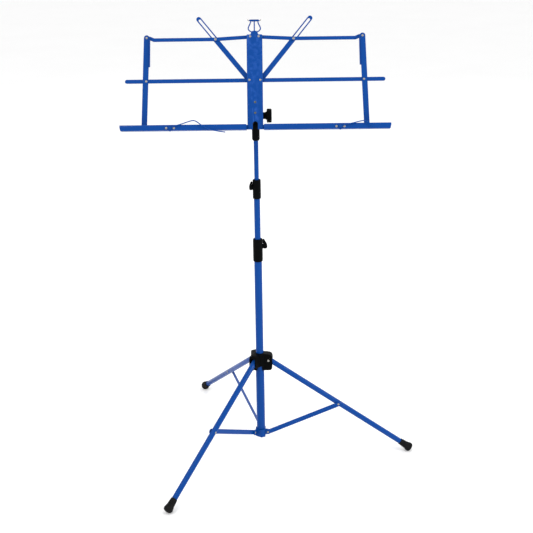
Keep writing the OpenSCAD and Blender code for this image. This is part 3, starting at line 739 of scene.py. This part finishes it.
def build_leg(index):
    leg, far = leg_frame(index)
    root = [(r, h) for r, h in ((LEG_R * cos(a), -LEG_R * sin(a))
                                for a in (pi / 2 * (1 - k / 10) for k in range(11)))]
    tube = lathe("leg", root + [(LEG_R, far - 0.5), (LEG_R - 0.5, far), (0, far)], leg)
    attach(smooth(tube, 50), f"leg_{index}", BLUE, [f"leg_{index}"])
    tube.name = f"leg_{index}_tube"

    # rubber cap: a lipped socket, three shallow rings, a flared skirt and a rounded tread
    start = far - 13
    profile = [(0, 0), (5.6, 0), (6.2, 0.25), (6.45, 0.9), (6.4, 1.9), (6.25, 2.4), (6.3, 3.0)]
    for ring in range(3):
        at = 4.0 + 2.6 * ring
        body = 6.4 + 0.12 * ring
        profile += [(body + 0.14, at), (body + 0.42, at + 0.5), (body + 0.42, at + 1.1),
                    (body + 0.16, at + 1.7)]
    profile += [(7.1, 13.0), (7.7, 15.6), (8.4, 18.6), (8.85, 20.8)]
    tread_in, tread_up, tread_r = 4.4, 22.4, 4.55
    profile += arc(tread_in, tread_up, tread_r, 0, pi / 2, 9)
    profile += [(2.2, 26.85), (0, 26.6)]
    cap = lathe("foot", [(r, start + h) for r, h in profile], leg, 80)
    for v in cap.data.vertices:
        v.co.z = max(v.co.z, 0.0)
    cap.name = f"foot_{index}_cap"
    attach(smooth(cap, 42), f"leg_{index}", RUBBER, [f"foot_{index}"])


def build_stretcher(index):
    strip_frame, length = stretcher_frame(index)
    far = STRETCHER_NEAR + STRETCHER_T
    strip = plate(f"stretcher_{index}_strip", [eyed_strip(length)], STRETCHER_NEAR, far, 0.3,
                  strip_frame)
    attach(smooth(strip, 30), f"stretcher_{index}", BLUE, [f"stretcher_{index}"])
    at_leg = strip_frame @ Matrix.Translation((length * MM, 0, 0))
    head = rivet(at_leg, far + 0.02, STRETCHER_NEAR, PIN_R - 0.02, 2.2, 0.9, PIN_R - 0.02, 0.13)
    head.name = f"stretcher_rivet_{index}_head"
    attach(head, f"stretcher_{index}", ZINC, [f"stretcher_rivet_{index}"])
    # the same rivet's other end, seen on the far side of the leg
    tail = rivet(at_leg, LEG_R - 0.6, -LEG_R + 0.3, PIN_R, PIN_R, 0.13, 2.5, 0.8)
    tail.name = f"leg_rivet_tail_{index}"
    attach(tail, f"leg_{index}", ZINC)


def eyed_strip(length):
    """Outline of a stretcher: a straight strip between two slightly wider round eyes."""
    half = STRETCHER_W / 2
    join = sqrt(EYE_R ** 2 - (half - 0.4) ** 2) + 3
    points = []
    open_angle = atan2(half - 0.4, join - 3)
    for centre, first in ((length, -pi + open_angle), (0, open_angle)):
        turn = 2 * (pi - open_angle)
        points += arc(centre, 0, EYE_R, first, turn, 24)
        inward = -1 if centre else 1
        sign = 1 if centre else -1
        points.append((centre + inward * (join + 1), sign * half))
        points.append(((length - join - 1) if not centre else join + 1, sign * half))
    return points


def build_base():
    low, high = upright("base_bracket")
    face_r = 9.2
    half_face = 7.2
    lug_r = 5.9
    ring = []
    for index in LEGS:
        out = point_of(f"leg_{index}_fold")
        angle = atan2(out.y, out.x)
        for side in (-half_face, half_face):
            ring.append((face_r * cos(angle) - side * sin(angle),
                         face_r * sin(angle) + side * cos(angle), 1.6))
    parts = [prism("ring", rounded(ring, 4), low, high, WORLD)]
    pivot = point_of("stretcher_1_fold")
    pivot_r = hypot(pivot.x, pivot.y) / MM
    pivot_z = pivot.z / MM
    for index in LEGS:
        outline = [(6, pivot_z - 7), (pivot_r - 1, pivot_z - 6)]
        outline += arc(pivot_r, pivot_z, lug_r, -pi / 2, pi, 12)
        outline += [(pivot_r - 1, pivot_z + 6), (6, pivot_z + 7)]
        parts.append(prism("lug", outline, 3.25, 5.35, side_view(radial_frame(index))))
    bracket = moulded(joined("base_bracket_pressed", parts), 0.4, 5)
    cut(bracket, cylinder("bore", lower_r + 0.03, low - 5, high + 5, WORLD))
    attach(smooth(bracket, 35), "base", BLUE, ["base_bracket"])
    rivets = []
    for index in LEGS:
        strip_frame, _ = stretcher_frame(index)
        outer = STRETCHER_NEAR + STRETCHER_T + 0.3
        rivets.append(rivet(strip_frame, outer, STRETCHER_NEAR - 2.52, PIN_R, 2.2, 0.9, 2.3, 0.7))
    attach(joined("bracket_rivets_domed", rivets), "base", ZINC, ["bracket_rivets"])


build_hub()
for leg_index in LEGS:
    build_leg(leg_index)
    build_stretcher(leg_index)
build_base()

# ------------------------------------------------------------------ neck and tilt

FRONT = side_view(DESK)     # X across the desk, Y up its slope, Z towards the player


def profile_frame(matrix):
    """X back, Y up and Z across, in a frame whose X runs across and Z up."""
    turn = Matrix(((0, 0, 1), (1, 0, 0), (0, 1, 0))).to_4x4()
    return matrix @ turn


DESK_PROFILE = profile_frame(DESK)


def at_desk(x, height):
    """The player-facing frame moved to a place on the desk."""
    return FRONT @ Matrix.Translation((x * MM, height * MM, 0))


def flat(name, outlines, front, back, edge=0.3, matrix=FRONT):
    """A flat steel part between two depths behind the plate's front face."""
    return smooth(plate(name, outlines, -back, -front, edge, matrix), 30)


TONGUE_W = 8.4
TONGUE_R = 8
BOLT_R = 2.5
BOLT_HOLE_R = BOLT_R + 0.05
CHEEK_X = 4.4
CHEEK_OUT = 6.0
SHEET_T = 1.2
tilt_point = point_of("desk_tilt")
TILT = placed(tilt_point, Vector((0, 0, -1)), Vector((1, 0, 0)))    # Z to the right along the bolt
TILT_Y = on_desk(tilt_point).y
TILT_H = on_desk(tilt_point).z


def build_neck():
    low, high = upright("tilt_neck")
    radius = 7.2
    neck_top = 676
    axis_z = tilt_point.z / MM
    collar = lathe("neck", rounded([(0, low, 0), (radius - 1.4, low, 0.8), (radius, low + 3, 2),
                                    (radius, neck_top - 2, 2), (radius - 1.8, neck_top, 1),
                                    (0, neck_top, 0)], 5), WORLD, 64)
    stem = prism("stem", rounded([(-TONGUE_W / 2, -5.2, 1.2), (TONGUE_W / 2, -5.2, 1.2),
                                  (TONGUE_W / 2, 5.2, 1.2), (-TONGUE_W / 2, 5.2, 1.2)], 4),
                 neck_top - 8, axis_z, WORLD)
    eye = lathe("eye", rounded([(0, -TONGUE_W / 2, 0), (TONGUE_R, -TONGUE_W / 2, 0.8),
                                (TONGUE_R, TONGUE_W / 2, 0.8), (0, TONGUE_W / 2, 0)], 4), TILT, 64)
    neck = moulded(joined("tilt_neck_moulded", [collar, stem, eye]), 0.36, 6)
    socket_top = upright("top_tube")[1] + 0.02
    cut(neck, cylinder("bore", top_r + BORE_PLAY, low - 5, socket_top, WORLD),
        cylinder("bolt_hole", BOLT_HOLE_R, -30, 30, TILT, 40))
    attach(smooth(neck, 38), "neck", PLASTIC, ["tilt_neck"])


def build_tilt_bracket():
    low, high = 15, 55
    web = SHEET_T + 0.02 + 0.8
    side = (CHEEK_X + CHEEK_OUT) / 2
    channel = folded("tilt_bracket_channel",
                     [(-side, TILT_Y + 9), (-side, web), (side, web), (side, TILT_Y + 9)],
                     CHEEK_OUT - CHEEK_X, low, high, DESK, 1.2)
    end = arc(TILT_Y, TILT_H, 7.5, -pi / 2, pi, 16)
    outline = [(0, low), (8, low)] + end + [(13, TILT_H + 9), (8.6, 50), (7, high), (0, high)]
    combined(channel, prism("outline", outline, -12, 12, DESK_PROFILE), "INTERSECT")
    cut(channel, cylinder("hole", BOLT_HOLE_R, -30, 30, TILT, 40))
    softened(smooth(channel, 35), 0.25, 55, 2)
    attach(channel, "desk", BLUE, ["tilt_bracket"])

    rivet_heights = (26, 45.5)
    rivets = [rivet(at_desk(0, h), 0.02, -2.86, 1.6, 2.2, 0.8, 2.4, 0.7) for h in rivet_heights]
    attach(joined("bracket_plate_rivets_domed", rivets), "desk", DULL_ZINC,
           ["bracket_plate_rivets"])


def build_tilt_bolt():
    head_t = 2.6
    seat = -CHEEK_OUT - 0.02
    across = 5.2
    head = prism("tilt_bolt_head", circle(0, 0, across, 6), seat - head_t, seat, TILT)
    chamfer = lathe("chamfer", [(0, seat - head_t), (4.4, seat - head_t),
                                (5.25, seat - head_t + 0.6), (5.25, seat + 0.1),
                                (0, seat + 0.1)], TILT, 64)
    combined(head, chamfer, "INTERSECT")
    tip = CHEEK_OUT + 11.9
    shank = rounded([(0, seat - 0.5, 0), (BOLT_R, seat - 0.5, 0), (BOLT_R, tip, 0.5),
                     (0, tip, 0)], 3)
    shank = lathe("shank", shank, TILT, 40)
    bolt = joined("tilt_bolt_hex", [head, shank])
    softened(smooth(bolt, 30), 0.12, 30, 2)
    attach(bolt, "desk", BOLT_STEEL, ["tilt_bolt"])


def build_tilt_knob():
    boss_low = CHEEK_OUT + 1
    grip_low = 20.8
    grip_high = 30
    grip_r = 12.8
    flutes = 24
    flute_t = 1.6
    boss = lathe("boss", rounded([(0, boss_low, 0), (5.6, boss_low, 0.6), (6.3, boss_low + 3, 3),
                                  (6.3, grip_low - 3, 2), (8.2, grip_low - 0.1, 1.5),
                                  (8.2, grip_low + 1, 0), (0, grip_low + 1, 0)], 5), TILT, 64)

    def fluted(angle, radius):
        if radius < grip_r - flute_t:
            return radius
        depth = (radius - (grip_r - flute_t)) / flute_t
        wave = (0.5 - 0.5 * cos(flutes * angle)) ** 2
        return radius - 0.75 * depth * wave

    rim = rounded([(0, grip_low, 0), (grip_r, grip_low, 1.6), (grip_r, grip_high, 2.6),
                   (grip_r - 4.4, grip_high, 0.9), (grip_r - 5.2, grip_high - 1.1, 0.9),
                   (0, grip_high - 0.5, 0)], 7)
    grip = lathe("grip", rim, TILT, flutes * 10, fluted)
    cut(boss, cylinder("bore", BOLT_HOLE_R, 0, boss_low + 14.0, TILT, 40))
    knob = joined("tilt_knob_fluted", [smooth(boss, 40), smooth(grip, 40)])
    attach(knob, "tilt_knob", PLASTIC, ["tilt_knob"])


build_neck()
build_tilt_bracket()
build_tilt_bolt()
build_tilt_knob()

# ------------------------------------------------------------------ centre plate and lyre

PLATE_HALF = 14.5
plate_points = [on_desk(v.co) for v in NODES["centre_plate"].data.vertices]
PLATE_LOW = min(p.z for p in plate_points)
PLATE_HIGH = max(p.z for p in plate_points)
PIVOT_R = 1.6
tray_pivot = on_desk(point_of("tray_right_fold"))
mid_pivot = on_desk(point_of("mid_arm_right_fold"))
top_pivot = on_desk(point_of("top_arm_right_fold"))
TRAY_Y = 3.5
BAR_Y = 5
ARM_Y = 7
BRACE_Y = 9
ARM_T = 1.7


def build_centre_plate():
    flange = 3
    half = PLATE_HALF - SHEET_T / 2
    steel = folded("centre_plate_pressed",
                   [(-half, flange - 0.6), (-half, 0.6), (half, 0.6), (half, flange - 0.6)],
                   SHEET_T, PLATE_LOW, PLATE_HIGH, DESK, 1.3)
    notch_r = 4.8
    notch_h = 10.5
    outline = arc(0, notch_h - notch_r, notch_r, 0, pi, 20)
    outline += [(-notch_r, PLATE_LOW - 2), (notch_r, PLATE_LOW - 2)]
    cutters = [prism("notch", outline, -6, 2, FRONT)]
    clip = 2.2
    for _, sign in SIDES:
        corner = [(sign * (PLATE_HALF + 1), PLATE_HIGH + 1),
                  (sign * (PLATE_HALF - clip), PLATE_HIGH + 1),
                  (sign * (PLATE_HALF + 1), PLATE_HIGH - clip)]
        cutters.append(prism("corner", corner, -8, 2, FRONT))
    cut(steel, *cutters)
    softened(smooth(steel, 35), 0.22, 60, 2)
    attach(steel, "desk", BLUE, ["centre_plate"])

    seats = ((tray_pivot, TRAY_Y + SHEET_T, TRAY_Y - 0.15, "tray"),
             (mid_pivot, BRACE_Y + ARM_T, ARM_Y - 0.15, "arm"),
             (top_pivot, ARM_Y + ARM_T, ARM_Y - 0.15, "arm"))
    made = {"tray": [], "arm": []}
    for _, sign in SIDES:
        for pivot, end, seat, kind in seats:
            shoulder = (2.1, -SHEET_T - 0.02, -seat)
            made[kind].append(rivet(at_desk(sign * pivot.x, pivot.z), 0.02, -end - 0.3, PIVOT_R,
                                    2.1, 0.9, 2.7, 0.9, shoulder))
    attach(joined("tray_pivots_painted", made["tray"]), "desk", BLUE,
           ["plate_pivot_rivets"])
    attach(joined("arm_pivots_domed", made["arm"]), "desk", ZINC,
           ["plate_pivot_rivets"])


def build_lyre():
    foot = PLATE_HIGH + 0.02
    height = 23
    y = 0.6
    r = 1.1
    base = DESK @ Matrix.Translation((0, y * MM, foot * MM))
    lump = rounded([(-7.4, 0, 0.5), (7.4, 0, 0.5), (6.1, 3, 1.5), (6.2, 4.8, 1), (3.4, 6.2, 1.5),
                    (0, 7, 2), (-3.4, 6.2, 1.5), (-6.2, 4.8, 1), (-6.1, 3, 1.5)], 5)
    foot_plate = smooth(plate("foot", [lump], -0.8, 0.8, 0.35, side_view(base)), 30)
    post = wire("post", [(0, 0, z) for z in (6, 12, 18, height - 0.1)], r, base)
    parts = [foot_plate, smooth(post, 60)]
    for _, sign in SIDES:
        bends = [(1.8, 4.2), (5.6, 4.8), (9.2, 6.8), (11.1, 10.2), (10.2, 14.2), (8, 18.6),
                 (6.7, height - 0.9)]
        arm = curve_through([(sign * x, 0, z) for x, z in bends])
        parts.append(smooth(wire("arm", arm, r, base), 60))
    attach(joined("lyre_frame_wires", parts), "desk", BLUE_WIRE, ["lyre_frame"])

    bar = DESK @ Matrix.Translation((0, y * MM, (foot + height + 2.12) * MM))
    turns = 11
    half = 8.1
    coil_r = 1.38
    steps = turns * 20
    coil = [(-half + 2 * half * k / steps, coil_r * cos(2 * pi * turns * k / steps),
             coil_r * sin(2 * pi * turns * k / steps)) for k in range(steps + 1)]
    rod = [(-8.7 + 17.4 * k / 12, 0, 0) for k in range(13)]
    parts = [smooth(wire("coil", coil, 0.7, bar), 60), smooth(wire("rod", rod, 1.2, bar), 60)]
    attach(joined("lyre_crossbar_coil", parts), "desk", BLUE_WIRE, ["lyre_crossbar"])
    tips = []
    for _, sign in SIDES:
        curl = curve_through([(sign * x, 0, z) for x, z in
                              ((8.2, 0), (9.8, -0.38), (11.2, -0.1), (11.8, 0.8), (11.5, 1.8))])
        tips.append(smooth(wire("curl", curl, 0.66, bar), 60))
    attach(joined("lyre_curls", tips), "desk", ZINC)


build_centre_plate()
build_lyre()

# ------------------------------------------------------------------ folding lattice

ARM_LEN = on_desk(point_of("side_bar_right_fold")).x - mid_pivot.x
LEDGE_Z = -6.2
LEDGE_FRONT = -18
LIP_TOP = 4.4
BACK_TOP = 4.8
TRAY_INNER = 16
MID_ARM_W = 7.3
TOP_ARM_W = 6.6
SIDE_BAR_W = 10.4
BRACE_W = 9.2


def reach_across(node):
    """How far a node reaches from the desk's middle line, in mm."""
    low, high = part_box(node)
    return max(abs(low.x), abs(high.x)) / MM


def build_tray(side, sign):
    tip = reach_across(f"tray_{side}")
    half = SHEET_T / 2
    line = [(LEDGE_FRONT + half, LIP_TOP - half), (LEDGE_FRONT + half, LEDGE_Z + half),
            (TRAY_Y + half, LEDGE_Z + half), (TRAY_Y + half, BACK_TOP - half)]
    ends = sorted((sign * TRAY_INNER, sign * tip))
    channel = folded("channel", line, SHEET_T, ends[0], ends[1], DESK_PROFILE, 1.5)
    lean = tan(radians(14))
    low_x = tip - (LIP_TOP - LEDGE_Z) * lean + 0.6
    bottom, top = LEDGE_Z - 2, LIP_TOP + 9
    slant = [(sign * low_x, bottom), (sign * (tip + 5), bottom), (sign * (tip + 5), top),
             (sign * (low_x + (LIP_TOP + 11 - LEDGE_Z) * lean), top)]
    cut(channel, prism("slant", slant, -40, 40, FRONT))
    softened(channel, 0.2, 60, 2)
    smooth(channel, 35)
    tab = strip_outline([(sign * tray_pivot.x, 0), (sign * (tray_pivot.x + 12), 0)], 8.4)
    tab = flat("tab", [tab], TRAY_Y + 0.03, TRAY_Y + SHEET_T - 0.03, 0.25)
    tray = joined(f"tray_{side}_folded", [baked(channel), tab])
    attach(tray, f"tray_{side}", BLUE, [f"tray_{side}"])


HOLDER_BENDS = [(2.2, 0.9), (8, 3.4), (22, 7.4), (38, 12.4), (44, 12.8), (49, 10.8), (60, 3),
                (72, -2.8), (86, -6.2), (100, -8.4)]
# how many of the bends each wire has, and how far it is turned down at rest
HOLDER_SHAPES = {"left": (10, 0), "right": (7, 4.7)}


def build_page_holder(side):
    pin = on_desk(point_of(f"page_holder_{side}_turn"))
    plate_front = LEDGE_FRONT - 1.02
    plate_back = plate_front + 1
    wire_r = 0.95
    wire_y = plate_front - 0.02 - 0.8 - 0.15 - wire_r
    stud_front = wire_y - wire_r - 0.15
    here = at_desk(pin.x, pin.z)
    bar = strip_outline([(-7, 0), (7, 0)], 5.2)
    lobe = strip_outline([(0, 0), (0, -4)], 4.6)
    clip = [flat("bar", [bar], plate_front, plate_back, 0.25, here),
            flat("lobe", [lobe], plate_front + 0.03, plate_back - 0.03, 0.25, here)]
    stud = [(0, -plate_back + 0.2), (2.1, -plate_back + 0.2), (2.1, -wire_y - wire_r - 0.15),
            (1.2, -wire_y - wire_r - 0.15), (1.2, -stud_front), (2.3, -stud_front)]
    stud += [(r, -stud_front + 0.12 + h) for r, h in dome(2.3, 0.76)]
    clip.append(smooth(lathe("stud", stud, here, SMALL_ROUND), 40))
    attach(joined(f"clip_saddle_{side}_stamped", clip), f"tray_{side}", BLUE,
           [f"clip_saddle_{side}"])
    rivets = [rivet(here @ Matrix.Translation((x * MM, 0, 0)), -plate_front + 0.02,
                    -LEDGE_FRONT - SHEET_T - 0.02, 1.3, 2.2, 0.8, 2.2, 0.6) for x in (-7, 7)]
    attach(joined(f"clip_rivets_{side}_domed", rivets), f"tray_{side}", ZINC,
           [f"clip_rivets_{side}"])

    count, turn = HOLDER_SHAPES[side]
    turned = here @ Matrix.Rotation(radians(-turn), 4, "Z")
    path = curve_through([(x, z, -wire_y) for x, z in HOLDER_BENDS[:count]], 6)
    arm = smooth(wire("arm", path, wire_r, turned), 60)
    ring = flat("ring", [circle(0, 0, 2.9), circle(0, 0, 1.26)], wire_y - wire_r + 0.04,
                wire_y + wire_r - 0.04, 0.4, turned)
    holder = joined(f"page_holder_{side}_wire", [arm, ring])
    attach(holder, f"page_holder_{side}", BLUE_WIRE, [f"page_holder_{side}"])


def build_arms(side, sign):
    over = reach_across(f"mid_arm_{side}") - mid_pivot.x - MID_ARM_W / 2
    line = [(sign * mid_pivot.x, mid_pivot.z), (sign * (mid_pivot.x + over), mid_pivot.z)]
    arm = flat(f"mid_arm_{side}_strip", [strip_outline(line, MID_ARM_W)], ARM_Y, ARM_Y + ARM_T)
    attach(arm, f"mid_arm_{side}", BLUE, [f"mid_arm_{side}"])

    drop = -3.6
    pin_x = 64
    bends = [(0, 0), (pin_x, drop), (ARM_LEN - 13, drop), (ARM_LEN - 6, -0.6), (ARM_LEN, 0)]
    line = [(sign * (top_pivot.x + x), top_pivot.z + h) for x, h in bends]
    arm = flat(f"top_arm_{side}_strip", [strip_outline(line, TOP_ARM_W)], ARM_Y, ARM_Y + ARM_T)
    attach(arm, f"top_arm_{side}", BLUE, [f"top_arm_{side}"])
    pin = rivet(at_desk(sign * (top_pivot.x + pin_x), top_pivot.z + drop), -ARM_Y + 0.02,
                -BRACE_Y - ARM_T - 0.3, 1.2, 2.4, 0.9, 3.4, 0.9)
    pin.name = f"brace_pin_{side}_headed"
    attach(pin, f"top_arm_{side}", ZINC, [f"brace_pin_{side}"])

    # brace: its slot's line runs from the middle pivot through the pin
    rise = atan2(top_pivot.z + drop - mid_pivot.z, top_pivot.x + pin_x - mid_pivot.x)
    brace_len = 149.8
    slot_start, slot_end, slot_w = 97.5, 142, 4.7

    def along(distance):
        return (sign * (mid_pivot.x + distance * cos(rise)),
                mid_pivot.z + distance * sin(rise))

    rim = strip_outline([along(0), along(brace_len - BRACE_W / 2)], BRACE_W)
    slot = strip_outline([along(slot_start), along(slot_end)], slot_w)
    brace = flat(f"brace_{side}_slotted", [rim, slot], BRACE_Y, BRACE_Y + ARM_T)
    attach(brace, f"brace_{side}", BLUE, [f"brace_{side}"])


def build_side_bar(side, sign):
    foot = (sign * (tray_pivot.x + ARM_LEN), 0)
    head = (sign * (top_pivot.x + ARM_LEN), top_pivot.z)
    foot_shift = 3.8
    shifted = (foot[0] + sign * foot_shift, 0)
    bar = flat("bar", [strip_outline([shifted, head], SIDE_BAR_W)], BAR_Y, BAR_Y + ARM_T)
    pad = flat("pad", [circle(*foot, 4.95)], BAR_Y + 0.04, BAR_Y + ARM_T - 0.04)
    lean = atan2(foot[0] - head[0], head[1] - foot[1])
    edge_frame = at_desk(*head) @ Matrix.Rotation(lean, 4, "Z")
    inner = -sign * (SIDE_BAR_W / 2 + 1.4)
    fold_h = 53
    wide = [(0, 0, 0), (inner, 0, 2.5), (inner, -fold_h, 0.6), (0, -fold_h, 0)]
    wide = smooth(plate("wide", [rounded(wide, 5)], -BAR_Y - ARM_T + 0.04, -BAR_Y - 0.04, 0.25,
                        edge_frame), 30)
    corners = sorted((inner, inner + sign * SHEET_T))
    fold = rounded([(corners[0], -1, 0.4), (corners[1], -1, 0.4), (corners[1], -fold_h, 0.4),
                    (corners[0], -fold_h, 0.4)], 3)
    fold = smooth(plate("fold", [fold], -BAR_Y - 0.5, -BAR_Y + 3, 0.25, edge_frame), 30)
    attach(joined(f"side_bar_{side}_strip", [bar, pad, wide, fold]), f"side_bar_{side}", BLUE,
           [f"side_bar_{side}"])
    rivets = []
    for pivot, front, back in ((tray_pivot, TRAY_Y, BAR_Y), (mid_pivot, BAR_Y, ARM_Y),
                               (top_pivot, BAR_Y, ARM_Y)):
        rivets.append(rivet(at_desk(sign * (pivot.x + ARM_LEN), pivot.z), -front + 0.15,
                            -back - ARM_T - 0.15, PIVOT_R, 2.2, 0.9, 2.5, 0.8))
    attach(joined(f"side_bar_rivets_{side}_domed", rivets), f"side_bar_{side}", ZINC,
           [f"side_bar_rivets_{side}"])


for side_word, side_sign in SIDES:
    build_tray(side_word, side_sign)
    build_page_holder(side_word)
    build_arms(side_word, side_sign)
    build_side_bar(side_word, side_sign)

# ------------------------------------------------------------------ inner pieces kept from CAD

for node in ("tube_end_plug", "mid_tube_glide", "top_tube_glide"):
    kept_node = softened(NODES[node], 0.3, 40, 2)
    painted(kept_node, INNER_PLASTIC)

# ------------------------------------------------------------------ floor, light and camera

def studio_paint(name, colour, rough):
    n = Nodes(name)
    tone = n.spread(n.noise(3, 3), 0.3, 0.7, 0, 1)
    paint = n.mix(tone, colour, tuple(c * 0.985 for c in colour))
    roughness = n.spread(n.noise(8, 2), 0.3, 0.7, rough, rough + 0.08)
    return n.done(paint, roughness, n.bump(n.noise(400, 2), 0.02, 0.0001))


floor_mesh = bpy.data.meshes.new("floor")
SPAN = 8
floor_mesh.from_pydata([(-SPAN, -SPAN, 0), (SPAN, -SPAN, 0), (SPAN, SPAN, 0), (-SPAN, SPAN, 0)], [],
                       [(0, 1, 2, 3)])
floor = linked("floor", floor_mesh)
floor.location.z = -0.0005
painted(floor, studio_paint("floor_paint", (0.97, 0.97, 0.97), 0.75))

world = bpy.data.worlds.new("studio")
bpy.context.scene.world = world
bpy.context.scene.view_settings.view_transform = "Standard"
world.use_nodes = True
world.node_tree.nodes["Background"].inputs["Color"].default_value = (1, 1, 1, 1)
world.node_tree.nodes["Background"].inputs["Strength"].default_value = 1.0


def area_light(name, place, aim, size, power):
    data = bpy.data.lights.new(name, "AREA")
    data.shape = "RECTANGLE"
    data.size = size[0]
    data.size_y = size[1]
    data.energy = power
    light = linked(name, data)
    light.location = place
    light.rotation_euler = (Vector(aim) - Vector(place)).to_track_quat("-Z", "Y").to_euler()


area_light("key", (-1.6, -2.2, 2.6), (0, 0, 0.45), (0.9, 1.6), 26)
area_light("fill", (2.3, -0.9, 1.65), (0.15, 0, 0.2), (0.35, 1.6), 26)
area_light("back", (0.6, 2.4, 2.4), (0, 0, 0.5), (1.6, 1.0), 16)


def camera():
    """The studio camera: place in metres, heading, pitch and roll in degrees."""
    data = bpy.data.cameras.new("camera")
    data.sensor_width = 36
    data.lens = 75.97
    data.clip_start = 0.05
    data.clip_end = 40
    heading, pitch, roll = (radians(a) for a in (0.939, -19.952, -0.8775))
    forward = Vector((-sin(heading) * cos(pitch), cos(heading) * cos(pitch),
                      sin(pitch)))
    right = Vector((cos(heading), sin(heading), 0))
    up = right.cross(forward)
    x = right * cos(roll) + up * sin(roll)
    y = up * cos(roll) - right * sin(roll)
    obj = linked("camera", data)
    obj.matrix_world = placed(Vector((0.04974, -2.05098, 1.1372)), x, -forward)
    bpy.context.scene.camera = obj


camera()
